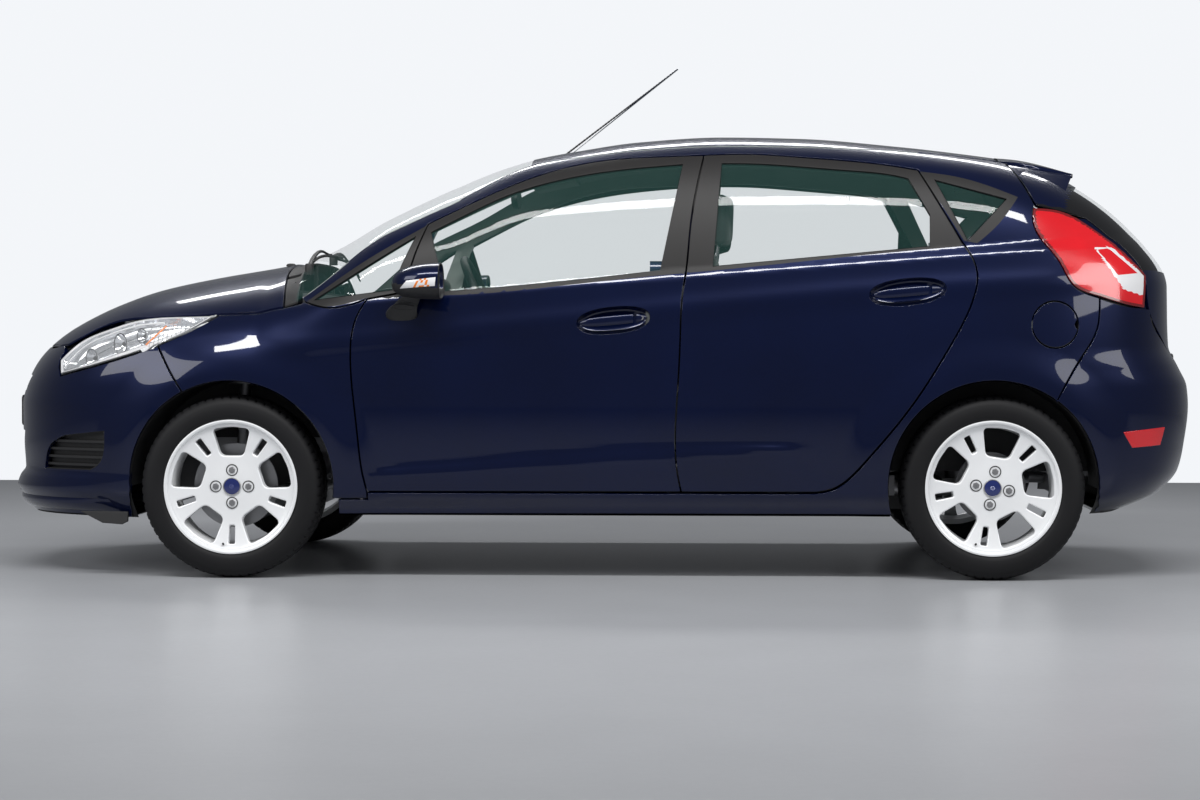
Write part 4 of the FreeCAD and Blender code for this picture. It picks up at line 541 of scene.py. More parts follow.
finish["glass"] = pane("green glass", (0.06, 0.17, 0.15), 0.17)

# outlines of the left side as (x, z), each a list of runs
doorFrontEdge = [(fx(451), 285), (fx(436), 350), (fx(423), 456), (fx(407), 600), (fx(401), 782),
                 (fx(416), 854), (fx(451), 916)]
triangleBack = [(fx(574), 939), (fx(595), 1037), (fx(640), high - 310)]
frameTopFront = [(fx(640), high - 310), (fx(875), high - 198), (fx(1038), high - 136), (fx(1204), high - 98),
                 (fx(1370), high - 86), (fx(1550), high - 80)]
middleEdge = [(fx(1550), high - 80), (fx(1505), 1142), (fx(1492), 1003), (fx(1483), 945), (fx(1474), 782),
              (fx(1464), 588), (fx(1466), 345), (fx(1478), 285)]
frontDoorLine = [doorFrontEdge, [(fx(451), 916), (fx(574), 939)], triangleBack, frameTopFront, middleEdge,
                 [(fx(1478), 285), (fx(451), 285)]]
frameTopRear = [(fx(1550), high - 80), (rx(-787), high - 77), (rx(-621), high - 88), (rx(-456), high - 102),
                (rx(-293), high - 123), (rx(-234), high - 134)]
wheelEdge = [(rx(-99), 1101), (rx(-54), 1009), (rx(-68), 912), (rx(-144), 760), (rx(-304), 520),
             (rx(-400), 405), (rx(-464), 335), (rx(-513), 300), (rx(-574), 285)]
rearDoorLine = [middleEdge[::-1], frameTopRear, [(rx(-234), high - 134), (rx(-99), 1101)], wheelEdge,
                [(rx(-574), 285), (fx(1478), 285)]]
frontWindow = [[(fx(652), 1139), (fx(778), high - 272), (fx(877), high - 225), (fx(1041), high - 171),
                (fx(1206), high - 138), (fx(1480), high - 111)], [(fx(1480), high - 111), (fx(1408), 1010)],
               [(fx(1408), 1010), (fx(1080), 974), (fx(706), 942)], [(fx(706), 942), (fx(652), 1139)]]
rearWindow = [[(rx(-880), high - 108), (rx(-787), high - 109), (rx(-622), high - 120), (rx(-458), high - 134),
               (rx(-294), high - 155), (rx(-268), high - 162)],
              [(rx(-268), high - 162), (rx(-201), 1190)], [(rx(-201), 1190), (rx(-203), 1088)],
              [(rx(-203), 1088), (rx(-909), 1023)], [(rx(-909), 1023), (rx(-880), high - 108)]]
quarterWindow = straightRuns([(rx(-180), high - 168), (rx(50), high - 232), (rx(-80), 1107)])
triangleWindow = straightRuns([(fx(267), 913), (fx(601), 1124), (fx(560), 1030), (fx(530), 946)])
lampFoot = [(fx(-55), 864), (fx(-142), 811), (fx(-275), 755), (fx(-379), 722), (fx(-489), 692),
            (fx(-608), 664)]
lampTop = [(fx(-618), 714), (fx(-547), 775), (fx(-438), 820), (fx(-331), 850), (fx(-187), 861),
           (fx(-55), 864)]
headlampLine = [lampFoot, [(fx(-608), 664), (fx(-618), 714)], lampTop]
hatchLine = [(rx(145), 1224), (rx(100), high - 160), (rx(56), high - 84), (rx(45), high - 66)]
tailLampLine = [[(rx(138), 1217), (rx(138), 1157), (rx(217), 1035), (rx(258), 961), (rx(348), 922)],
                [(rx(348), 922), (rx(440), 896), (rx(507), 885)], [(rx(507), 885), (rx(518), 996)],
                [(rx(518), 996), (rx(443), 1071), (rx(328), 1159), (rx(228), 1208), (rx(138), 1217)]]
bonnetSeamPlan = [(fx(-600), 565), (fx(-470), 602), (fx(-332), 659), (fx(-56), 733), (fx(166), 757),
                  (fx(300), 770), (fx(480), 778)]

gap = car["gap"] / 2
stations = np.arange(noseX, tailX, 6.0)
roofSeamTable = crown(stations, seam(stations))
wingSeamTable = crown(stations, np.clip(along(bonnetSeamPlan, stations), 300, 790) + gap + 1.5)


def roofSeam(x):
    return np.interp(x, stations, roofSeamTable)


def wingSeam(x):
    return np.interp(x, stations, wingSeamTable)


cabinSheet = sideSurface(sheetFoot, roofSeam)
wingSheet = sideSurface(sheetFoot, wingSeam)


def archRing(axle, start, end, r=340.0):
    # arc of the wheel opening between two angles, seen from the side
    a = np.radians(np.linspace(start, end, 40))
    return [(axle + r * math.cos(t), car["wheelZ"] + 8 + r * math.sin(t)) for t in a]


def seamRun(table, start, end, count=60):
    x = np.linspace(start, end, count)
    return list(zip(x, table(x)))


# body side: sill, rear quarter, cant rail and windscreen pillar in one pressing
quarter = dict(flapX=198.0, flapZ=832.0, flapRadius=74.0, flapGap=3.5)
bodySideRuns = [[(fx(354), 209), (rx(-325), 209)], archRing(car["rearAxle"], 197.2, 54),
                [(rx(200), 583), (rx(278), 717), (rx(336), 815), (rx(347), 920)],
                [(rx(347), 920), (rx(258), 961), (rx(217), 1035), (rx(138), 1157), (rx(138), 1217)],
                hatchLine, seamRun(roofSeam, rx(45), fx(225)),
                [(fx(225), roofSeam(fx(225))), (fx(236), 908)],
                [(fx(236), 908), (fx(330), 887), (fx(451), 916)], [(fx(451), 916), (fx(574), 939)],
                triangleBack, frameTopFront, frameTopRear, [(rx(-234), high - 134), (rx(-99), 1101)],
                wheelEdge, [(rx(-574), 285), (fx(451), 285)], [(fx(451), 285), (fx(451), 262)],
                [(fx(451), 262), (fx(354), 262)], [(fx(354), 262), (fx(354), 209)]]
quarterTrim = loop([[(rx(-228), high - 140), (rx(-100), high - 160), (rx(88), high - 226)],
                    [(rx(88), high - 226), (rx(20), 1160), (rx(-50), 1098)],
                    [(rx(-50), 1098), (rx(-92), 1106)], [(rx(-92), 1106), (rx(-228), high - 140)]], 1)
triangleTrim = loop([[(fx(238), 903), (fx(400), 1018), (fx(636), high - 316)], triangleBack[::-1],
                     [(fx(574), 939), (fx(451), 919), (fx(330), 892), (fx(238), 903)]], 0)


def darkTrim(space):
    xz = space[:, [0, 2]]
    return (inside(xz, quarterTrim) | inside(xz, triangleTrim)).astype(int)


flapHole = circle(rx(quarter["flapX"]), quarter["flapZ"], quarter["flapRadius"] + quarter["flapGap"], 72)
sideWindows = [loop(quarterWindow, 1), loop(triangleWindow, 1)]
for tag, flip, holes in (("left", False, sideWindows + [flapHole]), ("right", True, sideWindows)):
    bodySide = trimmed(cabinSheet, loop(bodySideRuns, -gap), holes, [quarterTrim, triangleTrim], hem=9,
                       zone=darkTrim)
    build("side_skin_" + tag, "body", [finish["paint"], finish["frame"]], bodySide, flip)

# doors, with the matte window frame above the waist
handles = dict(front=(91.0, 846.0, 119.0, 43.0), rear=(1045.0, 938.0, 124.0, 43.0))


def oval(cx, cz, hx, hz, count=64, tilt=0.09, power=2.3):
    # superellipse, tilted a little: x and z of its rim
    a = turnAngles(count)
    r = (np.abs(np.cos(a)) ** power + np.abs(np.sin(a)) ** power) ** (-1 / power)
    x, z = hx * r * np.cos(a), hz * r * np.sin(a)
    return np.stack([cx + x, cz + z + tilt * x], 1)


waist = [(fx(430), 912), (fx(451), 916), (fx(706), 928), (fx(1080), 958), (fx(1490), 1000), (rx(-909), 1008),
         (rx(-450), 1055), (rx(-60), 1090)]


def aboveWaist(space):
    return (space[:, 2] > along(waist, space[:, 0])).astype(int)


waistLine = curve(waist)
for tag, runs, window in (("front", frontDoorLine, frontWindow), ("rear", rearDoorLine, rearWindow)):
    edge = loop(runs, -gap)
    within = waistLine[inside(waistLine, grown(edge, -6))]
    door = trimmed(cabinSheet, edge, [loop(window, 0), oval(*handles[tag])], [within], hem=12,
                   zone=aboveWaist)
    for hand, flip in hands:
        build(tag + "_door_skin_" + hand, tag + "_door_" + hand, [finish["paint"], finish["frame"]],
              door, flip)

# front wing
wingRuns = [
    [(fx(354), 262), (fx(451), 262)], [(fx(451), 262), (fx(451), 285)], doorFrontEdge,
    [(fx(451), 916), (fx(330), 887), (fx(236), 908)], [(fx(236), 908), (fx(225), wingSeam(fx(225)))],
    seamRun(wingSeam, fx(225), fx(-50)), [(fx(-50), float(wingSeam(fx(-50)))), (fx(-50), 864)],
    [(fx(-50), 864), (fx(-142), 811), (fx(-248), 764)], [(fx(-248), 764), (fx(-200), 680), (fx(-156), 611)],
    archRing(car["frontAxle"], 117.3, -7.9), [(fx(337), 262), (fx(354), 262)]]
wing = trimmed(wingSheet, loop(wingRuns, -gap), hem=14)
for hand, flip in hands:
    build("wing_skin_" + hand, "body", [finish["paint"]], wing, flip)
print("side panels made")

# bonnet, roof and windscreen on the plan sheet
bonnetPlan = [[(fx(-640), -515), (fx(-715), -330), (fx(-755), 0), (fx(-715), 330), (fx(-640), 515)],
              [(fx(-640), 515), (fx(-600), 565)], [(fx(-600), 565), (fx(-553), 585), (fx(-470), 602),
                                                   (fx(-332), 659), (fx(-56), 733), (fx(166), 757)],
              [(fx(166), 757), (fx(142), 480), (fx(131), 0), (fx(142), -480), (fx(166), -757)],
              [(fx(166), -757), (fx(-56), -733), (fx(-332), -659), (fx(-470), -602), (fx(-553), -585),
               (fx(-600), -565)], [(fx(-600), -565), (fx(-640), -515)]]
topSheet = topSurface()
bonnet = trimmed(topSheet, loop(bonnetPlan, -gap), step=(14, 14), hem=8)
build("bonnet_skin", "bonnet", [finish["paint"]], bonnet)


def planEdge(start, end, table, inset, back):
    # both long edges of a panel between the seams, front to back and round
    x = np.linspace(start, end, 50)
    y = table(x) - inset
    return [list(zip(x, -y)), [(end, float(-y[-1]))] + back + [(end, float(y[-1]))],
            list(zip(x[::-1], y[::-1])), [(start, float(y[0])), (start, float(-y[0]))]]


roof = trimmed(topSheet, loop(planEdge(fx(972), rx(36), seam, gap, []), 0), step=(16, 16), hem=8)
build("roof_skin", "body", [finish["paint"]], roof)
screen = trimmed(topSurface(2.0), loop(planEdge(fx(205), fx(966), seam, gap + 1, []), 0), step=(16, 16),
                 hem=3)
build("windscreen_pane", "body", [finish["glass"]], screen, replaces="windscreen")
print("top panels made")

# window panes, set a little behind the skin
paneSheet = sideSurface(sheetFoot, roofSeam, depth=9.0)
for tag, window in (("front", frontWindow), ("rear", rearWindow)):
    glass = trimmed(paneSheet, loop(window, 3), step=(20, 12), rim=0.5, hem=3.5)
    for hand, flip in hands:
        build(tag + "_window_" + hand, tag + "_door_" + hand, [finish["glass"]], glass, flip,
              replaces=tag + "_door_glass_" + hand)
fixed = trimmed(paneSheet, loop(quarterWindow, 2), step=(20, 12), rim=0.5, hem=3.5) + \
    trimmed(paneSheet, loop(triangleWindow, 2), step=(20, 12), rim=0.5, hem=3.5)
build("fixed_panes_left", "body", [finish["glass"]], fixed)
build("fixed_panes_right", "body", [finish["glass"]], fixed, True, replaces="fixed_side_glass")

# bumpers
noseSheet = endSurface(False, fx(-130), 190.0, 792.0)
tailRange = (True, rx(60), sheetFoot, 1400.0)
tailSheet = endSurface(*tailRange)


def coordinates(mesh):
    p = np.zeros(len(mesh.vertices) * 3)
    mesh.vertices.foreach_get("co", p)
    return p.reshape(-1, 3) * 1000


def underShell(name, kind):
    # inner side of a pressed panel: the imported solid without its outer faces, which a skin above stands for
    node = frame["nodes"][name]
    mesh = node.data.copy()
    mesh.materials.clear()
    obj = placed(name + "_inner", mesh)
    bm = bmesh.new()
    bm.from_mesh(mesh)
    bmesh.ops.remove_doubles(bm, verts=bm.verts, dist=2e-5)
    bm.to_mesh(mesh)
    bm.free()
    p = coordinates(mesh)
    wide = side(p[:, 0], p[:, 2])
    tall = crown(p[:, 0], p[:, 1])
    # depth below the body surface, straight down for the top and across for the sides and ends
    across = np.where(wide > 0, wide - np.abs(p[:, 1]), -5.0)
    down = tall - p[:, 2]
    tail = p[:, 0] > 0
    end = np.where(tail, endX(p[:, 1], p[:, 2], True) - p[:, 0], p[:, 0] - endX(p[:, 1], p[:, 2], False))
    depth = np.minimum(np.minimum(np.abs(across), np.abs(down)), np.abs(end))
    near = depth < 13
    f = np.zeros(len(mesh.polygons) * 3, np.int32)
    mesh.polygons.foreach_get("vertices", f)
    f = f.reshape(-1, 3)
    normal = np.zeros(len(f) * 3)
    mesh.polygons.foreach_get("normal", normal)
    normal = normal.reshape(-1, 3)
    mid = p[f].mean(1)
    grad = surfaceNormal(mid)
    facing = (normal * grad).sum(1)
    outer = near[f].all(1) & (facing > 0.8)
    # faces turned to the cabin carry its lining: light above the waist, dark below and inside the doors
    lined = (facing < -0.4) & (mid[:, 0] > fx(230)) & (mid[:, 0] < rx(480))
    above = mid[:, 2] > belt(mid[:, 0]) + 25
    mark = np.where(lined & above, 1, np.where(lined, 2, 0))
    if kind == "bumper":
        mark = np.where(facing < 0.2, 3, 0)
    mesh.polygons.foreach_set("material_index", mark.astype(np.int32))
    bm = bmesh.new()
    bm.from_mesh(mesh)
    bm.faces.ensure_lookup_table()
    bmesh.ops.delete(bm, geom=[bm.faces[i] for i in np.nonzero(outer)[0]], context="FACES")
    bm.to_mesh(mesh)
    bm.free()
    p = coordinates(mesh)
    grad = surfaceNormal(p)
    for _ in range(3):
        wide = side(p[:, 0], p[:, 2])
        if kind in ("top", "roof"):
            over = np.maximum(p[:, 2] - (crown(p[:, 0], p[:, 1]) - 1.6), 0)
            p[:, 2] -= np.where(over < 25, over, 0)
        else:
            over = np.maximum(np.abs(p[:, 1]) - (wide - 1.6), 0)
            move = (over < 25) & (wide > 0) & (np.abs(grad[:, 1]) > 0.35)
            p[:, 1] -= np.where(move, over, 0) * np.sign(p[:, 1])
            if kind in ("end", "bumper"):
                edge = endX(p[:, 1], p[:, 2], bool(p[:, 0].mean() > 0))
                sign = 1 if p[:, 0].mean() > 0 else -1
                over = np.maximum((p[:, 0] - edge) * sign + 1.6, 0)
                p[:, 0] -= np.where((over < 25) & (np.abs(grad[:, 0]) > 0.35), over, 0) * sign
    mesh.vertices.foreach_set("co", (p / 1000).ravel())
    mesh.update()
    mesh.polygons.foreach_set("use_smooth", np.ones(len(mesh.polygons), bool))
    mesh.set_sharp_from_angle(angle=math.radians(30))
    lining = finish["frame"] if "door" in name else finish["roofCloth"]
    for mat in (finish["paint"], lining, finish["trim"], finish["black"]):
        mesh.materials.append(mat)
    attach(obj, node["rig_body"])
    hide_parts(name)


def surfaceNormal(p):
    # slope of the half width by small steps; where it falls away too fast, the slope of the crown or of the end
    h = 2.0
    x, y, z = p.T
    here = side(x, z)
    ok = (here > 30) & (side(x, z + h) > 0) & (side(x - h, z) > 0) & (side(x + h, z) > 0)
    dx = np.where(ok, (side(x + h, z) - side(x - h, z)) / (2 * h), 0)
    dz = np.where(ok, (side(x, z + h) - side(x, z - h)) / (2 * h), 0)
    a = np.stack([-dx, np.sign(y), -dz], 1)
    c = np.stack([-(crown(x + h, y) - crown(x - h, y)) / (2 * h),
                  -(crown(x, y + h) - crown(x, y - h)) / (2 * h), np.ones(len(x))], 1)
    n = np.where((ok & (np.hypot(dx, dz) < 3))[:, None], a, c)
    return n / np.linalg.norm(n, axis=1)[:, None]


for name, kind in (("front_door_left", "side"), ("front_door_right", "side"), ("rear_door_left", "side"),
                   ("rear_door_right", "side"), ("body_side_left", "side"), ("body_side_right", "side"),
                   ("front_wings", "side"), ("fuel_flap", "side"), ("bonnet", "top"), ("roof_panel", "roof"),
                   ("front_bumper", "bumper"), ("rear_bumper", "bumper"), ("tailgate", "end")):
    underShell(name, kind)
print("inner shells made")
frontEdge = [(fx(-248), 764), (fx(-200), 680), (fx(-156), 611)]


def wholeOutline(runs, first=0):
    # the left half of an outline on an end sheet without points closer than 2 mm, then its mirror image back
    left = np.concatenate(runs)
    left = left[np.concatenate([[True], np.linalg.norm(np.diff(left, axis=0), axis=1) > 2])]
    return grown(anticlockwise(np.concatenate([left[:-1], (left[first:-1] * [-1, 1])[::-1]])), -gap)


def bumperTop(plan):
    # line on the nose sheet that follows an outline seen from above
    x, y = np.array(plan, float).T
    return noseSheet.fromEnd(np.stack([y, crown(x, y)], 1))


lampEdge = curve([(fx(-248), 762), (fx(-275), 753), (fx(-379), 720), (fx(-489), 690), (fx(-606), 662)])
lampFront = curve([(fx(-606), 662), (fx(-618), 714), (fx(-606), 745)])
bonnetFront = curve([(fx(-612), -548), (fx(-640), -515), (fx(-715), -330), (fx(-755), 0)])
frontOutline = wholeOutline([
    noseSheet.toFlat(curve([(fx(-339), 192), (fx(-340), 300)])),
    noseSheet.toFlat(np.array(archRing(car["frontAxle"], 180, 117.3, 342))),
    noseSheet.toFlat(curve(frontEdge[::-1])), noseSheet.toFlat(lampEdge), noseSheet.toFlat(lampFront),
    bumperTop(bonnetFront)])
noseFlat = Surface(None, noseSheet.place, -1.0)


def faceHole(runs):
    # opening given as seen from the front, laid on the nose sheet
    return noseSheet.fromEnd(loop(runs))


lowerGrille = faceHole([[(-330, 330), (330, 330)], [(330, 330), (430, 470)],
                        [(430, 470), (0, 482), (-430, 470)], [(-430, 470), (-330, 330)]])
upperGrille = faceHole([[(-400, 610), (0, 602), (400, 610)], [(400, 610), (430, 660)],
                        [(430, 660), (0, 668), (-430, 660)], [(-430, 660), (-400, 610)]])
cornerRuns = [[(fx(-675), 349), (fx(-648), 428), (fx(-584), 464)], [(fx(-584), 464), (fx(-434), 481)],
              [(fx(-434), 481), (fx(-459), 367), (fx(-490), 349)], [(fx(-490), 349), (fx(-675), 349)]]
cornerLeft = noseSheet.toFlat(loop(cornerRuns))
cornerRight = (cornerLeft * [-1, 1])[::-1]
bumper = trimmed(noseFlat, frontOutline, [lowerGrille, upperGrille, cornerLeft, cornerRight], step=(16, 9),
                 hem=16)
build("front_bumper_skin", "body", [finish["paint"]], bumper)

# rear bumper and tailgate on the tail sheet
tailFlat = Surface(None, tailSheet.place)
rearOutline = wholeOutline([
    tailSheet.toFlat(np.array(archRing(car["rearAxle"], -16, 54, 342))),
    tailSheet.toFlat(curve([(rx(200), 583), (rx(278), 717), (rx(336), 815), (rx(347), 918)])),
    tailSheet.toFlat(curve([(rx(347), 918), (rx(440), 893), (rx(480), 888)])),
    tailSheet.fromEnd(curve([(-650, 884), (-655, 862), (-575, 770), (0, 770)]))])
rearBumper = trimmed(tailFlat, rearOutline, step=(16, 9), hem=12)
build("rear_bumper_skin", "body", [finish["paint"]], rearBumper)

gateOutline = wholeOutline([
    tailSheet.fromEnd(curve([(0, 770), (-575, 770), (-655, 860), (-655, 1000), (-655, 1100), (-655, 1180)])),
    tailSheet.toFlat(np.array(hatchLine[:3])), tailSheet.fromEnd(np.array([(-430, 1375), (0, 1388)]))], 1)
screenRuns = [[(-560, 1010), (0, 1000), (560, 1010)], [(560, 1010), (545, 1290)],
              [(545, 1290), (0, 1306), (-545, 1290)], [(-545, 1290), (-560, 1010)]]
darkSide = np.array([(500, 1012), (700, 1012), (700, 1246), (560, 1290), (500, 1312)], float)
finSide = np.array([(1380, 1400), (1640, 1352), (1566, 1213), (1480, 1228)], float)


def glassSurround(space):
    # the painted shell turns to gloss black beside the rear window, above the lamps
    return (inside(np.abs(space[:, 1:]), darkSide) & ~inside(space[:, [0, 2]], finSide)).astype(int)


surroundLine = tailSheet.fromEnd(curve([(640, 1012), (552, 1012)], 8))
surroundLine = [surroundLine, surroundLine * [-1, 1]]
gate = trimmed(tailFlat, gateOutline, [tailSheet.fromEnd(loop(screenRuns))], surroundLine, step=(16, 9),
               hem=12, zone=glassSurround)
build("tailgate_skin", "tailgate", [finish["paint"], finish["gloss"]], gate)
rearScreen = trimmed(Surface(None, endSurface(*tailRange, depth=3.0).place),
                     tailSheet.fromEnd(loop(screenRuns, 2)), step=(20, 12), rim=0.5, hem=3.5)
build("rear_window", "tailgate", [finish["glass"]], rearScreen, replaces="rear_screen")
print("bumpers and tailgate made")



def gridFaces(rows, columns, wrapRows=False, wrapColumns=True):
    # quads between neighbouring rows and columns of a grid of points
    r = np.arange(rows if wrapRows else rows - 1)
    c = np.arange(columns if wrapColumns else columns - 1)
    r, c = np.meshgrid(r, c, indexing="ij")
    r, c = r.ravel(), c.ravel()
    r2, c2 = (r + 1) % rows, (c + 1) % columns
    return np.stack([r * columns + c, r2 * columns + c, r2 * columns + c2, r * columns + c2], 1)


def outwards(p, faces):
    # a closed shape has a positive volume when its faces point out; otherwise each face is turned
    a, b, c = p[faces[:, 0]], p[faces[:, 1]], p[faces[:, 2]]
    volume = (a * np.cross(b, c)).sum()
    if faces.shape[1] == 4:
        d = p[faces[:, 3]]
        volume += (a * np.cross(c, d)).sum()
    return faces if volume > 0 else faces[:, ::-1]


def asMesh(p, faces, mark=0):
    return p, None, [tuple(f) for f in faces.tolist()], [mark] * len(faces)


def facingTo(p, faces, out, probe=0):
    # all quads are turned round when the probed one looks away from a direction
    a, b, _, c = p[faces[probe]]
    return faces[:, ::-1] if np.cross(b - a, c - a) @ np.array(out, float) < 0 else faces


def closedGrid(points, wrapRows=False, mark=0, capEnds=True):
    # rows of points round a tube; the open ends are shut by a fan to their middle
    rows, columns = points.shape[:2]
    p = points.reshape(-1, 3)
    centre = p.mean(0)
    faces = outwards(p - centre, gridFaces(rows, columns, wrapRows))
    made = [tuple(f) for f in faces.tolist()]
    if capEnds and not wrapRows:
        ends = []
        for k, row in ((0, 0), (1, rows - 1)):
            ends.append(points[row].mean(0))
            hub = len(p) + k
            i = np.arange(columns)
            fan = np.stack([row * columns + i, row * columns + (i + 1) % columns, np.full(columns, hub)], 1)
            q = np.concatenate([p, ends + [ends[-1]] * (1 - k)])
            out = np.cross(q[fan[0, 1]] - q[fan[0, 0]], q[fan[0, 2]] - q[fan[0, 0]])
            away = points[row].mean(0) - points[1 if row == 0 else row - 1].mean(0)
            if np.dot(out, away) < 0:
                fan = fan[:, ::-1]
            made += [tuple(f) for f in fan.tolist()]
        p = np.concatenate([p, ends])
    return p, None, made, [mark] * len(made)


def ovals(rows, count, mark=0, blunt=(1, 1), wrapRows=False):
    # skin over ovals in a row, each given by its centre and its two half axes; blunt below 1 squares them off
    a = turnAngles(count)
    c, s = (np.sign(w) * np.abs(w) ** power for w, power in zip((np.cos(a), np.sin(a)), blunt))
    return closedGrid(np.array([np.array(at) + np.outer(c, u) + np.outer(s, v) for at, u, v in rows]),
                      wrapRows, mark)


def turned(profile, centre, count=96, mark=0, start=0.0):
    # (radius, along) points carried round the Y axis through the centre
    profile = np.array(profile, float)
    a = turnAngles(count) + start
    r, y = profile[:, 0][:, None], profile[:, 1][:, None]
    p = np.stack([centre[0] + r * np.cos(a), centre[1] + y + 0 * a, centre[2] + r * np.sin(a)], 2)
    flat = p.reshape(-1, 3)
    return asMesh(flat, outwards(flat - np.array(centre), gridFaces(len(profile), count, True)), mark)


def tube(path, radius, count=14, mark=0, flat=1.0):
    # circle of a radius, or of a list of radii, carried along a path on a frame that turns with it
    path = np.array(path, float)
    radius = np.broadcast_to(np.asarray(radius, float), (len(path),))
    step = np.gradient(path, axis=0)
    step /= np.linalg.norm(step, axis=1)[:, None]
    ref = np.array([0, 0, 1.0]) if abs(step[:, 2]).max() < 0.95 else np.array([0, 1.0, 0])
    u = np.cross(step, ref)
    u /= np.linalg.norm(u, axis=1)[:, None]
    v = np.cross(u, step)
    a = turnAngles(count)
    ring = u[:, None] * np.cos(a)[None, :, None] + v[:, None] * flat * np.sin(a)[None, :, None]
    return closedGrid(path[:, None] + ring * radius[:, None, None], mark=mark)


def slab(points, push, mark=0):
    # flat outline pushed along a vector, shut on both faces
    points = np.array(points, float)
    push = np.array(push, float)
    rows = np.stack([points, points + push])
    n = len(points)
    p = rows.reshape(-1, 3)
    faces = [tuple(f) for f in outwards(p - p.mean(0), gridFaces(2, n)).tolist()]
    ends = [tuple(range(n)), tuple(range(n, 2 * n))]
    for k, end in enumerate(ends):
        a, b, c = p[end[0]], p[end[n // 3]], p[end[2 * n // 3]]
        out = np.dot(np.cross(b - a, c - a), push) * (1 if k else -1)
        faces.append(end if out > 0 else end[::-1])
    return p, None, faces, [mark] * len(faces)


def block(x0, x1, y0, y1, z0, z1, mark=0):
    return slab([(x0, y0, z0), (x1, y0, z0), (x1, y1, z0), (x0, y1, z0)], (0, 0, z1 - z0), mark)


def plain(name, body, materials, meshes, mirror=False, replaces=(), sharp=34, bevel=0.0):
    # piece shaded smooth except over sharp edges, with a small bevel where it is asked for
    obj = build(name, body, materials, meshes, mirror, replaces, normals=False)
    obj.data.set_sharp_from_angle(angle=math.radians(sharp))
    if bevel:
        mod = obj.modifiers.new("edge", "BEVEL")
        mod.width = bevel / 1000
        mod.segments = 2
        mod.limit_method = "ANGLE"
        mod.angle_limit = math.radians(40)
    return obj


# wheels
wheel = dict(windowInner=100.0, windowOuter=194.0, windowHalfIn=38.0, windowHalfOut=62.0, slotHalf=10.5,
             slotInner=128.0, slotOuter=187.0, lugCircle=54.0, face=209.0, turnRear=-9.0)


def dish(r):
    # height of the wheel's face over its middle plane: flat hub, low neck, rising to the rim
    return along([(0, 60), (40, 61), (82, 60), (120, 62), (165, 70), (196, 78), (212, 84), (230, 86)], r)


def wheelFace(turn):
    def place(q):
        r = np.hypot(q[:, 0], q[:, 1])
        return np.stack([q[:, 0], -dish(r), q[:, 1]], 1)

    def spun(points, angle):
        c, s = math.cos(math.radians(angle)), math.sin(math.radians(angle))
        return np.array(points) @ np.array([[c, s], [-s, c]])

    def rounded(corners, r):
        # straight sides with a quarter arc drawn at each corner
        corners = np.array(corners, float)
        before, after = np.roll(corners, 1, 0), np.roll(corners, -1, 0)
        a = corners + (before - corners) / np.linalg.norm(before - corners, axis=1)[:, None] * r
        b = corners + (after - corners) / np.linalg.norm(after - corners, axis=1)[:, None] * r
        t = np.linspace(0, 1, 7)[None, :, None]
        arc = a[:, None] * (1 - t) ** 2 + 2 * corners[:, None] * t * (1 - t) + b[:, None] * t**2
        return arc.reshape(-1, 2)
    w = wheel
    window = rounded([(w["windowInner"], -w["windowHalfIn"]), (w["windowOuter"] - 6, -w["windowHalfOut"]),
                      (w["windowOuter"] + 2, 0), (w["windowOuter"] - 6, w["windowHalfOut"]),
                      (w["windowInner"], w["windowHalfIn"])], 18)
    slot = rounded([(w["slotInner"], -w["slotHalf"] * 0.85), (w["slotOuter"], -w["slotHalf"]),
                    (w["slotOuter"], w["slotHalf"]), (w["slotInner"], w["slotHalf"] * 0.85)], 5)
    holes = []
    for k in range(5):
        holes.append(spun(window, 90 + 72 * k + turn))
        holes.append(spun(slot, 54 + 72 * k + turn))
    return trimmed(Surface(None, place), circle(0, 0, w["face"], 120), holes, step=(7, 7), rim=5, hem=26)


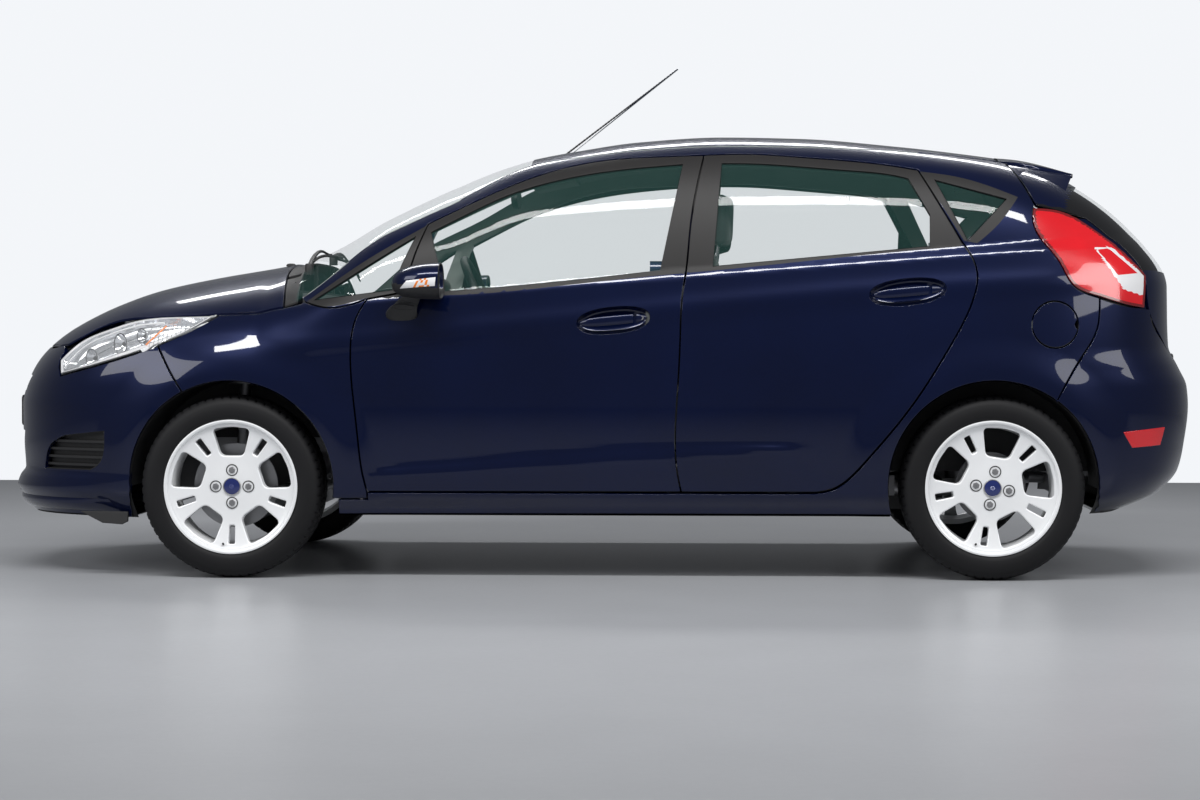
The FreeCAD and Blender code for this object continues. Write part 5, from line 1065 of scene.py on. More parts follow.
def wheelMeshes(turn, brakeDisc):
    # rim barrel, brake disc or drum with its hat, valve, nuts in their sleeves and the centre cap
    w = wheel
    centre = (0, 0, 0)
    lip = turned([(206, -80), (211, -90), (216, -92), (220.5, -91), (220.5, -84), (213, -78), (205, -60),
                  (196, 20), (202, 86), (219, 91), (220.5, 84), (214, 78), (192, 22), (200, -62)], centre,
                 120)
    nuts, rings = [], []
    for k in range(4):
        a = math.radians(90 * k + turn)
        x, z = w["lugCircle"] * math.cos(a), w["lugCircle"] * math.sin(a)
        rings.append(turned([(19.5, -60), (19.5, -62.2), (17.6, -62.6), (16.4, -61.5), (16.0, -46),
                             (15, -46), (15, -60)], (x, 0, z), 32, 1))
        rings.append(turned([(16.2, -50), (0.01, -50), (0.01, -49), (16.2, -49)], (x, 0, z), 24, 1))
        nuts.append(turned([(11.5, -50), (11.2, -63), (9, -65.5), (4, -66.2), (0.01, -66.3), (0.01, -50)],
                           (x, 0, z), 6, 2, start=0.3))
        nuts.append(turned([(13.5, -50), (13, -54), (0.01, -54), (0.01, -50)], (x, 0, z), 20, 2))
    cap = [turned([(29.5, -60), (29.2, -64.5), (27.5, -66), (26.6, -65.6), (26.5, -60)], centre, 48, 2),
           turned([(26.8, -62), (26, -65), (20, -66.5), (10, -67.2), (0.01, -67.5), (0.01, -60),
                   (26.8, -60)], centre, 48, 3)]
    back = turned([(brakeDisc, 12), (brakeDisc, 24), (30, 24), (30, 12)], centre, 96, 4)
    hat = turned([(72, 14), (70, -38), (30, -42), (30, 14)], centre, 48, 5)
    valveAt = (198 * math.cos(math.radians(262 + turn)), 198 * math.sin(math.radians(262 + turn)))
    valve = tube([(valveAt[0], -48, valveAt[1]), (valveAt[0] * 0.975, -70, valveAt[1] * 0.975),
                  (valveAt[0] * 0.955, -84, valveAt[1] * 0.955)], [4, 3.2, 3.6], 10, 1)
    drum = [turned([(brakeDisc + 2, 8), (brakeDisc + 2, 30), (brakeDisc - 8, 34), (brakeDisc - 8, 4)],
                   centre, 72, 5)]
    return [lip, back, hat, valve] + rings + nuts + cap + (drum if brakeDisc < 120 else [])


def moved(meshes, to):
    return [(p + np.array(to, float), n, f, m) for p, n, f, m in meshes]


def tyreMesh():
    # section curve from bead to bead; each point sinks into the tread where a groove or a sipe crosses it
    half = curve([(213, 76), (222, 88), (248, 97), (268, 95), (286, 86), (294, 76), (298.6, 58), (300.4, 20),
                  (300.5, 0)], 6.2)
    section = np.concatenate([half, half[::-1][1:] * [1, -1]])
    periods, per = 64, 5
    a = turnAngles(periods * per)
    r = section[:, 0][:, None] + 0 * a
    y = section[:, 1][:, None] + 0 * a
    tread = np.clip((r - 287) / 6, 0, 1)
    groove = np.zeros_like(r)
    for at, wide in ((-54, 4.2), (-19, 5.2), (19, 5.2), (54, 4.2)):
        groove = np.maximum(groove, 7 * (np.abs(y - at) < wide))
    k = np.arange(periods * per)[None]
    shift = np.where(np.abs(y) > 54, 0, np.round(np.abs(y) / 14)).astype(int)
    sipe = ((k + shift) % per == 0) & (np.abs(np.abs(y) - 36) > 3) & (np.abs(y) > 7)
    groove = np.maximum(groove, 4.5 * sipe)
    r = r - groove * tread
    rib = 0.9 * np.exp(-((section[:, 0] - 232) / 2.2) ** 2) + 0.9 * np.exp(-((section[:, 0] -
            274) / 2.2) ** 2)
    y = y + (rib * np.sign(section[:, 1]))[:, None]
    p = np.stack([r * np.cos(a), y, r * np.sin(a)], 2)
    p = np.concatenate([p] + [np.stack([208 * np.cos(a), y0 + 0 * a, 208 * np.sin(a)], 1)[None]
                              for y0 in (-70, 70)])
    flat = p.reshape(-1, 3)
    return [asMesh(flat, outwards(flat, gridFaces(len(p), len(a), True)))]


wheelMaterials = [finish["alloy"], finish["black"], finish["steel"], finish["capBlue"], finish["steel"],
                  finish["engine"]]
tyre = tyreMesh()
for end, axle, track, brakeDisc, turn in (("front", car["frontAxle"], 731.5, 139, 0.0),
                                     ("rear", car["rearAxle"], 724.0, 112, wheel["turnRear"])):
    face, rest = wheelFace(turn), wheelMeshes(turn, brakeDisc)
    at = (axle, -track, car["wheelZ"])
    for hand, flip in hands:
        body = "wheel_" + end + "_" + hand
        build("wheel_face_" + end + "_" + hand, body, [finish["alloy"]], moved(face, at), flip)
        plain("wheel_rim_" + end + "_" + hand, body, wheelMaterials, moved(rest, at), flip,
              replaces="rim_" + end + "_" + hand)
        plain("tyre_tread_" + end + "_" + hand, body, [finish["rubber"]], moved(tyre, at), flip,
              replaces="tyre_" + end + "_" + hand, sharp=28)
print("wheels made")

# lamps
lampLook = dict(coverDepth=0.5, amber=(0.75, 0.20, 0.02), red=(0.62, 0.006, 0.012))
finish["clear"] = pane("clear cover", (0.75, 0.78, 0.80), 0.13)
finish["amber"] = material("amber strip", lampLook["amber"], 0.25, grain=0.03, coat=0.6)
finish["red"] = material("red lens", lampLook["red"], 0.16, grain=0.03, grainSize=900, tone=0.2, coat=1.0)
finish["redDark"] = material("dark red rim", (0.16, 0.004, 0.006), 0.18, grain=0.03, coat=1.0)
finish["white"] = material("white lens", (0.74, 0.74, 0.75), 0.18, grain=0.03, coat=1.0, tone=0.05)
finish["silverInside"] = material("reflector", (0.86, 0.87, 0.89), 0.13, metal=0.85, grain=0.05,
                                  grainSize=160, bump=0.15, tone=0.05)
finish["darkInside"] = material("lamp housing", (0.05, 0.05, 0.055), 0.4, grain=0.05, bump=0.1)


def bowl(surface, outline, spine, profile, mark=0):
    # the outline drawn towards the nearest point of a spine line while it sinks; (share left, depth) per ring
    ring = surface.toFlat(outline) if surface.toFlat else outline
    line = surface.toFlat(np.array(spine, float)) if surface.toFlat else np.array(spine, float)
    a, b = line[0], line[-1]
    t = np.clip(((ring - a) @ (b - a)) / max(1e-6, (b - a) @ (b - a)), 0, 1)
    target = a + t[:, None] * (b - a)
    rows = []
    for share, depth in profile:
        p, n = surface.at(target + (ring - target) * share)
        n = n * np.where(n[:, 1:2] > 0.0, -1, 1) if abs(n[:, 1]).mean() > 0.3 else n
        rows.append(p - n * depth)
    rows = np.array(rows)
    p = rows.reshape(-1, 3)
    return asMesh(p, facingTo(p, gridFaces(len(rows), len(ring)), rows[0].mean(0) - p[0]), mark)


def disc(centre, out, radius, depth, mark, count=32, rings=7, dome=2.0):
    # round dish facing a direction: radius against depth follows a power curve
    out = np.array(out, float) / np.linalg.norm(out)
    u = np.cross(out, [0, 0, 1.0])
    u /= np.linalg.norm(u)
    v = np.cross(u, out)
    a = turnAngles(count)
    rows = []
    for r in np.linspace(1, 0.02, rings):
        rows.append(np.array(centre) + radius * r * (u * np.cos(a)[:, None] + v * np.sin(a)[:, None]) -
                    out * depth * (1 - r**dome))
    p = np.array(rows).reshape(-1, 3)
    return asMesh(p, facingTo(p, gridFaces(rings, count), out), mark)


lampSheet = sideSurface(400.0, wingSeam, depth=lampLook["coverDepth"])
lampOutline = loop(headlampLine, -gap - 0.5, 7.0)
cover = trimmed(lampSheet, lampOutline, step=(12, 8), rim=2.0, hem=10)
lampInner, lampSpine = loop(headlampLine, -gap - 3, 7.0), [(fx(-560), 712), (fx(-180), 846)]
band = bowl(sideSurface(400.0, wingSeam, depth=8.0), lampInner, lampSpine, [(1.0, -3), (0.97, 0), (0.86, 1)],
            2)
basin = bowl(sideSurface(400.0, wingSeam, depth=10.0), lampInner, lampSpine,
             [(0.86, -1), (0.80, 10), (0.70, 20), (0.5, 28), (0.25, 33), (0.02, 34)], 0)


def lampPoint(x, z, depth):
    p, n = lampSheet.at(lampSheet.toFlat(np.array([[x, z]], float)))
    n = n[0] * (-1 if n[0, 1] > 0 else 1)
    return p[0] - n * depth, n


insides = [band, basin]
for x, z, r in ((fx(-500), 728, 31), (fx(-395), 778, 34), (fx(-320), 806, 24)):
    at, out = lampPoint(x, z, 16)
    look = np.array([-0.62, -0.76, 0.05])
    insides += [disc(at, look, r, 24, 0), disc(at - look * 16, look, 9, -8, 1, 20, 5),
                tube([at + r * (np.cross(look, [0, 0, 1.0]) * math.cos(k) +
                                np.array([0, 0, 1.0]) * math.sin(k)) for k in np.linspace(0, 2 * np.pi, 33)],
                     1.8, 8, 1)]
for share in np.linspace(0, 1, 11):
    x = fx(-282) + share * 150
    z0 = along([(fx(-300), 752), (fx(-142), 818), (fx(-100), 842)], x)
    z1 = along([(fx(-331), 842), (fx(-187), 854), (fx(-120), 857)], x)
    line = np.array([lampPoint(x, z, 7)[0] for z in np.linspace(z0, z1, 5)])
    insides.append(tube(line, 1.3, 8, 0))
amberLine = np.array([lampPoint(x, z, 6)[0] for x, z in ((fx(-231), 832), (fx(-262), 800), (fx(-294), 768))])
insides.append(tube(amberLine, 3.2, 10, 3))
frameLine = np.array([lampPoint(x, z, 5)[0] for x, z in curve([(fx(-596), 690), (fx(-540), 752),
        (fx(-438), 802), (fx(-331), 833), (fx(-240), 842)], 20)])
insides.append(tube(frameLine, 3.0, 8, 2))
lampMaterials = [finish["silverInside"], finish["darkInside"], finish["white"], finish["amber"]]
for hand, flip in hands:
    build("headlamp_cover_" + hand, "body", [finish["clear"]], cover, flip)
    plain("headlamp_inside_" + hand, "body", lampMaterials, insides, flip, replaces="headlamps",
          sharp=50)
print("headlamps made")

# tail lamps wrap the corner, so their lens lies on the tail sheet
whitePart = [(1659, 1083), (1706, 1088), (1722, 1083), (1826, 996), (1826, 926), (1752, 948)]
redPanel = [(1669, 1077), (1704, 1082), (1714, 1077), (1806, 1001), (1736, 994)]


def closed(points, spacing=8.0):
    return loop(straightRuns(points), 0, spacing)


def lampZones(space):
    xz = space[:, [0, 2]]
    mark = np.where(inside(xz, closed(redPanel)), 0, np.where(inside(xz, closed(whitePart)), 2, 0))
    return np.where(inside(xz, loop(tailLampLine, -gap - 9)), mark, 1)


lensFlat = tailSheet.toFlat(loop(tailLampLine, -gap, 7.0))
zoneLines = [tailSheet.toFlat(np.concatenate([r, r[:1]])) for r in (
    closed(redPanel, 6), loop(tailLampLine, -gap - 9, 7.0))]
lens = trimmed(Surface(None, tailSheet.place), lensFlat, lines=zoneLines, step=(8, 6), rim=2.0, hem=12,
               zone=lampZones)
for hand, flip in hands:
    build("tail_lens_" + hand, "body", [finish["red"], finish["redDark"], finish["white"]], lens,
          flip, replaces="tail_lamps")
reflector = trimmed(Surface(None, endSurface(*tailRange, depth=-1.5).place), tailSheet.toFlat(closed(
    [(1745, 483), (1895, 497), (1878, 438), (1777, 431)], 8)), step=(12, 8), rim=1.5, hem=5)
for hand, flip in hands:
    build("rear_reflector_" + hand, "body", [finish["red"]], reflector, flip)
print("tail lamps made")

# door mirrors: a blunt shell on a black foot, glass set into its rear face
mirrorLook = dict(x=fx(700), y=-892.0, z=972.0, length=160.0, wide=94.0, tall=60.0, split=951.0)


def bluntness(t):
    # from a point at the front to the full oval at the glass
    return (1 - (1 - t) ** 2.5) ** (1 / 2.5)


def mirrorRows():
    t = np.linspace(0.004, 1, 22)[:, None]
    a = turnAngles(48)
    c, s = np.cos(a), np.sin(a)
    rim = bluntness(t) * (np.abs(c) ** 2.4 + np.abs(s) ** 2.4) ** (-1 / 2.4)
    m = mirrorLook
    x = m["x"] - m["length"] * (1 - t) + 0 * a
    y = m["y"] + m["wide"] * rim * c + 14 * (1 - t) ** 2
    z = m["z"] + m["tall"] * rim * s * np.where(s > 0, 1.0, 0.97) - 8 * (1 - t) ** 2
    return np.stack([x, y, z], 2)


rows = mirrorRows()
m = mirrorLook
back = []
for inset, into in ((2.0, -2.0), (5.0, -2.5), (7.5, 1.0), (8.0, 8.0)):
    scale = 1 - inset / 75
    back.append((rows[-1] - [0, m["y"], m["z"]]) * [1, scale, scale] + [-into, m["y"], m["z"]])
p, n, faces, marks = closedGrid(np.concatenate([rows, np.array(back)]), capEnds=False)
mid = p[np.array(faces)].mean(1)
painted = (mid[:, 0] <= m["x"] - 0.5) & (mid[:, 2] > m["split"] + (mid[:, 0] - m["x"]) * -0.09)
mirrorShell = (p, n, faces, np.where(painted, 0, 1).tolist())
glassRing = (rows[-1] - [0, m["y"], m["z"]]) * [1, 0.89, 0.89] + [-7.5, m["y"], m["z"]]
p = np.array([(glassRing - glassRing.mean(0)) * k + glassRing.mean(0) + [1.5 * (1 - k * k), 0, 0]
              for k in (1.0, 0.8, 0.55, 0.3, 0.05)]).reshape(-1, 3)
mirrorGlass = asMesh(p, facingTo(p, gridFaces(5, 48), (1, 0, 0)), 2)


def onMirror(x, z, grow):
    # point of the shell's outer side at a length and height, pushed out
    t = np.clip(1 - (m["x"] - x) / m["length"], 0.01, 1)
    r = bluntness(t)
    h = np.clip((z - m["z"] + 8 * (1 - t) ** 2) / (m["tall"] * r), -0.98, 0.98)
    y = m["y"] - (m["wide"] * r * (1 - np.abs(h) ** 2.4) ** (1 / 2.4) + grow) + 14 * (1 - t) ** 2
    return np.array([x, y, z])


# side lamp let into the shell, amber in its middle
us = np.linspace(0, 1, 14)
stripRows = []
for v, grow in ((0.0, -1.0), (0.02, 1.6), (0.2, 2.6), (0.5, 3.0), (0.8, 2.6), (0.98, 1.6), (1.0, -1.0)):
    x = (-592 + 24 * v) + ((-475 + 3 * v) - (-592 + 24 * v)) * us
    z = (947 + 26 * v) + ((955 + 29 * v) - (947 + 26 * v)) * us
    stripRows.append([onMirror(a, b, grow) for a, b in zip(x, z)])
sp = np.array(stripRows).reshape(-1, 3)
sf = facingTo(sp, gridFaces(len(stripRows), len(us), wrapColumns=False), (0, -1, 0), 40)
smid = sp[sf].mean(1)
dots = np.sin(smid[:, 0] * 0.35) * np.sin(smid[:, 2] * 0.5) > 0.1
smark = np.where((smid[:, 0] > -545) & (smid[:, 0] < -492) & dots, 4, 3)
mirrorStrip = (sp, None, [tuple(f) for f in sf.tolist()], smark.tolist())

# foot: an oval that leans from the door up into the shell
footRows = []
for t, (cx, cy, cz, hx, hz) in enumerate(((-600, -824, 866, 50, 38), (-600, -832, 866, 52, 40),
                                          (-597, -845, 872, 49, 37), (-585, -862, 892, 40, 28),
                                          (-568, -878, 915, 34, 22), (-550, -888, 935, 33, 20))):
    lean = min(1.0, t / 4)
    footRows.append(((cx, cy, cz), (hx, 0, 0), (0, -hz * lean * 0.6, hz * (1 - 0.75 * lean))))
foot = ovals(footRows, 32, 1)
footSeam = tube(foot[0][[*range(96, 128), 96]], 0.9, 8, 1)
for hand, flip in hands:
    plain("mirror_shell_" + hand, "front_door_" + hand,
          [finish["paint"], finish["black"], finish["chrome"], finish["white"], finish["amber"]],
          [mirrorShell, mirrorGlass, mirrorStrip, foot, footSeam], flip, replaces="mirror_" + hand, sharp=40)
print("mirrors made")

# door handles: an oval bowl let into the skin, and a pull that bridges it
grip = dict(tall=15.5, tilt=0.09, thick=11.0, out=15.0)


def pull(cx, cz, half, first, last):
    # bar with rounded ends: its middle stands off the skin, both ends dive into the bowl
    g = grip
    a = turnAngles(20)
    rows = []
    for u in np.linspace(-1, 1, 41):
        if first <= u <= last:
            z = cz + g["tilt"] * half * u
            h = g["tall"] * max(0.05, (1 - abs(u) ** 3.2)) ** (1 / 2.6)
            mid = -float(side(cx + half * u, z)) - g["out"] * (1 - abs(u) ** 4) + 8 - g["thick"] * 0.4
            d = g["thick"] * 0.5 * (0.55 + 0.45 * (1 - abs(u) ** 3))
            rows.append(np.stack([np.full(20, cx + half * u), mid - d * np.sin(a), z + h * np.cos(a)], 1))
    return closedGrid(np.array(rows))


bowlProfile = [(1.0, -0.2), (0.985, 3.0), (0.95, 9.0), (0.86, 17.0), (0.70, 22.0), (0.45, 25.0), (0.2, 26.0),
               (0.02, 26.5)]
for tag, (cx, cz, hx, hz) in handles.items():
    cup = bowl(cabinSheet, oval(cx, cz, hx, hz), [(cx - 70, cz - 6), (cx + 70, cz + 6)], bowlProfile)
    half = 108 if tag == "front" else 110
    bar = [pull(cx, cz, half, -1, 0.62), pull(cx, cz, half, 0.66, 1.0)]
    if tag == "front":
        px, pz = cx + 92, cz + 8.5
        bar.append(disc((px, -float(side(px, pz)) - 7.2, pz), (0, -1, 0), 6.5, 0.8, 1, 24, 5))
    for hand, flip in hands:
        plain(tag + "_handle_bowl_" + hand, tag + "_door_" + hand, [finish["paint"]], [cup], flip,
              sharp=50)
        plain(tag + "_handle_" + hand, tag + "_door_" + hand, [finish["paint"], finish["steel"]],
              bar, flip, sharp=40)

# fuel flap with a finger notch bitten out of its rear edge
flapAt, flapR = (rx(quarter["flapX"]), quarter["flapZ"]), quarter["flapRadius"]
rim = circle(*flapAt, flapR, 96)
notch, bite = np.array([flapAt[0] + flapR + 6, flapAt[1]]), 16
far = rim - notch
r = np.linalg.norm(far, axis=1)
rim = np.where((r < bite)[:, None], notch + far / r[:, None] * bite, rim)
build("fuel_flap_skin", "fuel_flap", [finish["paint"]],
      trimmed(cabinSheet, rim, step=(10, 6), hem=4))
cup = bowl(cabinSheet, circle(*flapAt, flapR + 3.0, 64),
           [(flapAt[0] - 1, flapAt[1]), (flapAt[0] + 1, flapAt[1])],
           [(1.0, 2), (1.0, 30), (0.96, 40), (0.8, 44), (0.45, 45)])
plain("filler_cup", "body", [finish["black"]], [cup], sharp=40)
print("handles and flap made")

# spoiler: wing and fins over the tailgate's own
gateX, reachLong, spoilerHalf = rx(43), 275.0, 505.0
lastZ = float(crown(rx(28), 0))
across, down = np.meshgrid(np.linspace(-1, 1, 61), np.linspace(0.012, 1, 25))
fall = curve([(0, 0), (0.25, 0.1), (0.5, 0.32), (0.75, 0.64), (1, 1)], 0.02)
y = across * spoilerHalf
z = crown(np.full_like(y, gateX), y)
z = z - (z - (lastZ - 54 - 14 * across * across)) * np.interp(down, fall[:, 0], fall[:, 1])
rows = np.stack([gateX + (reachLong - 28 * across * across) * down, y, z + 0.8], 2)
lip = [rows[-1] + step for step in ([1.6, 0, -0.8], [2.0, 0, -3.0], [1.8, 0, -12.0], [-1.0, 0, -14.5])]
p = np.concatenate([rows, np.array(lip)]).reshape(-1, 3)
wing = asMesh(p, facingTo(p, gridFaces(len(rows) + len(lip), 61, wrapColumns=False), (0, 0, 1), 30))
plain("spoiler_skin", "tailgate", [finish["paint"]], [wing], sharp=60)

finTop, finFoot = 1372.0, 1230.0


def finX(z):
    return np.where(z > 1224, along([(1224, rx(145)), (high - 160, rx(100)), (high - 84, rx(56))], z),
                    rx(145))


def finGrid(push):
    s, t = np.meshgrid(np.linspace(0, 1, 16), np.linspace(0, 1, 16), indexing="ij")
    z0 = finTop + (finFoot - finTop) * t
    x0 = finX(z0) + gap + 1
    y0 = np.minimum(side(x0, z0), spoilerHalf + (side(x0, finFoot) - spoilerHalf) * t**0.8)
    x1 = gateX + reachLong - 28 - 52 * t
    y1 = spoilerHalf + 130 * t
    z1 = lastZ - 70 - 98 * t
    return np.stack([x0 + s * (x1 - x0), -(y0 + s * (y1 - y0)) + push, z0 + s * (z1 - z0)], 2)


def border(g):
    return np.concatenate([g[:, 0], g[-1, 1:], g[::-1, -1][1:], g[0, ::-1][1:-1]])


outerFin, innerFin = finGrid(-2.6), finGrid(14.0)
fin = []
for grid, outY in ((outerFin, -1), (innerFin, 1)):
    p = grid.reshape(-1, 3)
    fin.append(asMesh(p, facingTo(p, gridFaces(16, 16, wrapColumns=False), (0, outY, 0), 100)))
p = np.concatenate([border(outerFin), border(innerFin)])
walls = gridFaces(2, len(p) // 2)
fin.append(asMesh(p, facingTo(p, walls, p[walls[8][0]] - p.mean(0), 8)))
for hand, flip in hands:
    plain("spoiler_fin_" + hand, "tailgate", [finish["paint"]], fin, flip, sharp=50)

# high brake lamp under the trailing edge, rear wiper on the glass, number plates left blank
brake = [(gateX + reachLong - 10 - 12 * (abs(y) / 150) ** 2, y, lastZ - 74)
         for y in np.linspace(-150, 150, 13)]
plain("brake_lamp", "tailgate", [finish["red"]], [tube(brake, 7, 12, 0)], sharp=40)


def gatePoint(y, z, out):
    p, n = tailSheet.at(tailSheet.fromEnd(np.array([[y, z]], float)))
    n = n[0] * (1 if n[0, 0] > 0 else -1)
    return p[0] + n * out


armRear = [gatePoint(y, z, o) for y, z, o in ((0, 1030, 14), (40, 1040, 16), (120, 1062, 14),
                                              (250, 1096, 11), (330, 1117, 9))]
bladeRear = [gatePoint(y, z, 5) for y, z in np.stack([np.linspace(110, 400, 9), np.linspace(1040, 1118, 9)],
                                                     1)]
hub = disc(gatePoint(0, 1028, 24), (1, 0, 0.25), 24, 20, 0, 32, 8, 2.0)
plain("rear_wiper", "tailgate", [finish["black"]],
      [tube(armRear, [9, 8, 6, 4.5, 3.5], 12, 0), tube(bladeRear, [2, 4.5, 4.5, 4.5, 4.5, 4.5, 4.5, 4.5, 2],
                                                       10, 0), hub], sharp=40)


plates = dict(half=260.0, tall=55.0, corner=14, frontZ=535.0, rearZ=680.0)
finish["plate"] = material("blank plate", (0.62, 0.62, 0.60), 0.4, grain=0.05, bump=0.05)


def plateMesh(x, z, turnOut):
    # black border round a blank field, bent a little with the bumper
    half, tall = plates["half"], plates["tall"]
    edge = np.clip(oval(0, 0, half, tall, 72, 0.0, plates["corner"]), [-half, -tall], [half, tall])
    rows = []
    for k, out in ((1.0, -2.0), (1.0, 0.6), (0.995, 1.4), (0.985, 1.6), (0.975, 0.9), (0.93, 0.8), (0.5, 0.8),
                   (0.02, 0.8)):
        y = edge[:, 0] * (1 - (1 - k) * tall / half if k > 0.9 else k)
        rows.append(np.stack([x + turnOut * (out - 0.00008 * y * y), y, z + edge[:, 1] * k], 1))
    p = np.array(rows).reshape(-1, 3)
    mesh = asMesh(p, facingTo(p, gridFaces(len(rows), len(edge)), (turnOut, 0, 0), -1))
    return (*mesh[:3], [0 if i // len(edge) < 4 else 1 for i in range(len(mesh[2]))])


for name, mesh in (("front_plate", plateMesh(float(endX(0.0, 540.0, False)) - 4, plates["frontZ"], -1)),
                   ("rear_plate", plateMesh(float(endX(0.0, 690.0, True)) + 5, plates["rearZ"], 1))):
    plain(name, "body", [finish["black"], finish["plate"]], [mesh], sharp=40)
print("spoiler and plates made")

# antenna: cone, spring neck and a mast wound with wire
antenna = dict(foot=fx(1034), tip=fx(1454), rise=318.0, radius=3.3, taper=0.8, turns=44, wire=0.5)
footZ = float(crown(fx(1030), 0))
cone = tube([(fx(1014), 0, footZ - 6), (fx(1019), 0, footZ + 4), (fx(1030), 0, footZ + 12),
             (fx(1042), 0, footZ + 20)], [21, 17, 12, 8], 24)
share = np.linspace(0, 1, 180)
mastLine = [antenna["foot"], 0, footZ + 12.0] + share[:, None] * [antenna["tip"] - antenna["foot"], 0,
        antenna["rise"]]
mast = tube(mastLine, antenna["radius"] + antenna["wire"] * np.sin(share * 2 * np.pi * antenna["turns"]) -
            antenna["taper"] * share, 10)
plain("antenna_sleeve", "body", [finish["black"]], [cone, mast], sharp=50)

# wipers and washer jets
wiperLook = dict(armShare=0.72, armHeight=10.0, armBow=16.0, bladeHeight=6.5, rubberHeight=2.6)


def glassPoint(x, y, out):
    return np.array([x, y, float(crown(x, y)) - 2 + out])


def wiper(pivot, tip):
    # arm that bows off the glass, blade and rubber across its end, and the post it turns on
    w = wiperLook
    pivot, tip = np.array(pivot, float), np.array(tip, float)
    step = tip - pivot
    mid = pivot + step * w["armShare"]
    arm = [glassPoint(*(pivot + step * s * w["armShare"]), w["armHeight"] + w["armBow"] * math.sin(
        math.pi * min(1, s * 1.2))) for s in np.linspace(0, 1, 9)]
    blade = [glassPoint(*(mid + step * s), w["bladeHeight"]) for s in np.linspace(-0.62, 0.42, 15)]
    rubber = [glassPoint(*(mid + step * s), w["rubberHeight"]) for s in np.linspace(-0.6, 0.4, 15)]
    at = glassPoint(*pivot, 0)
    post = ovals([(at + [0, 0, h], (r, 0, 0), (0, r, 0)) for r,
                  h in ((15, -18), (15, 14), (13, 18), (7, 20))], 24)
    return [tube(arm, [8, 8, 7, 6, 5, 4.5, 4, 4, 3.5], 10), tube(blade, [2.5] + [5.0] * 13 + [2.5], 10),
            tube(rubber, 1.8, 8), post]


plain("wipers", "body", [finish["black"]],
      wiper((fx(222), -560), (fx(232), 80)) + wiper((fx(216), 40), (fx(230), 560)), sharp=45)
jets = []
for y in (-300, 300):
    at = np.array([fx(118), y, float(crown(fx(118), y))])
    jets.append(ovals([(at + [0, 0, h], (r, 0, 0), (0, 8 * k, 0))
                       for r, k, h in ((17, 1.2, -2), (17, 1.2, 2.5), (13, 1.0, 6.5), (6, 0.5, 8.0))], 24))
plain("washer_jets", "bonnet", [finish["black"]], jets, sharp=45)

# front lip and the deflectors ahead of the wheels
lipLine = noseSheet.toFlat(np.array([(fx(-430), 262.0)]))[0, 0]
lipRows = []
us = np.linspace(lipLine, -lipLine, 61)
for z, out in ((212, 0.5), (216, 6), (226, 10), (238, 12), (248, 9), (254, 0.5)):
    p, nn = noseSheet.at(np.stack([us, np.full_like(us, z)], 1))
    nn = nn * np.where(nn[:, :1] > 0, -1, 1)
    fade = 1 - (np.abs(us) / abs(lipLine)) ** 8
    lipRows.append(p + nn * (out * fade + 0.2)[:, None])
lp = np.array(lipRows).reshape(-1, 3)
lip = asMesh(lp, facingTo(lp, gridFaces(len(lipRows), len(us), wrapColumns=False), (-1, 0, 0), 90))
plain("front_lip", "body", [finish["paint"]], [lip], sharp=50)
deflector = slab([(fx(-520), -735, 214), (fx(-352), -765, 214), (fx(-352), -770, 182), (fx(-372), -766, 172),
                  (fx(-440), -754, 176)], (0, 14, 0))
for hand, flip in hands:
    plain("wheel_deflector_" + hand, "body", [finish["black"]], [deflector], flip, bevel=2.0)
print("small outside pieces made")

# seats: every cushion is a crowned, closed form with bolsters, its seams laid on top
seatLook = dict(x=fx(900), y=360.0, half=236.0)
bench = dict(half=545.0, columns=96, headY=330.0)


def cushion(path, half, thick, bolster=16.0, power=3.2, columns=56, crownUp=10.0):
    # rows along a middle line; each is a superellipse whose upper side rises in the middle and at both bolsters
    path = np.array(path, float)
    step = np.gradient(path, axis=0)
    step /= np.linalg.norm(step, axis=1)[:, None]
    up = np.stack([-step[:, 1], step[:, 0]], 1)
    t = np.linspace(-1, 1, len(path))
    end = np.maximum(1 - np.abs(t) ** 6, 0.0) ** (1 / 3.0)
    a = turnAngles(columns)
    c, s = np.cos(a), np.sin(a)
    r = (np.abs(c) ** power + np.abs(s) ** power) ** (-1 / power)
    rows = []
    for k in range(len(path)):
        h = half * (1 + 0.04 * (1 - t[k] ** 2)) * (0.93 + 0.07 * end[k])
        y = h * r * c
        share = np.abs(y) / half
        swell = bolster * np.exp(-((share -
                                    0.86) / 0.13) ** 2) + crownUp * np.cos(np.pi / 2 * np.minimum(share, 1))
        rise = np.where(s > 0, swell, 0) * end[k]
        lift = thick / 2 * r * s * max(end[k], 0.12) + rise * np.minimum(1, np.maximum(s, 0) * 3)
        rows.append(np.stack([path[k, 0] + up[k, 0] * lift, y, path[k, 1] + up[k, 1] * lift], 1))
    return closedGrid(np.array(rows))


def cord(part, picks):
    # stitching that follows picked points of a cushion
    return tube(part[0][picks], 1.5, 6, 1)


finish["seam"] = material("seat seam", (0.010, 0.011, 0.011), 0.8, grain=0.05)
finish["panel"] = material("seat panel", (0.050, 0.055, 0.056), 0.92, grain=0.05, grainSize=1500, bump=0.9,
                           Sheen_Weight=0.4)


def twoTone(part, columns, inner=0.62):
    # the middle of the upper side is woven, the bolsters and the back are plain
    p, n, faces, marks = part
    half = np.abs(p[:, 1]).max()
    a = 2 * np.pi * (np.arange(columns) + 0.5) / columns
    marks = [2 if len(q) == 4 and abs(np.mean([p[i][1] for i in q])) < half * inner and
             math.sin(a[i % columns]) > 0.2 else 0 for i, q in enumerate(faces)]
    return p, n, faces, marks


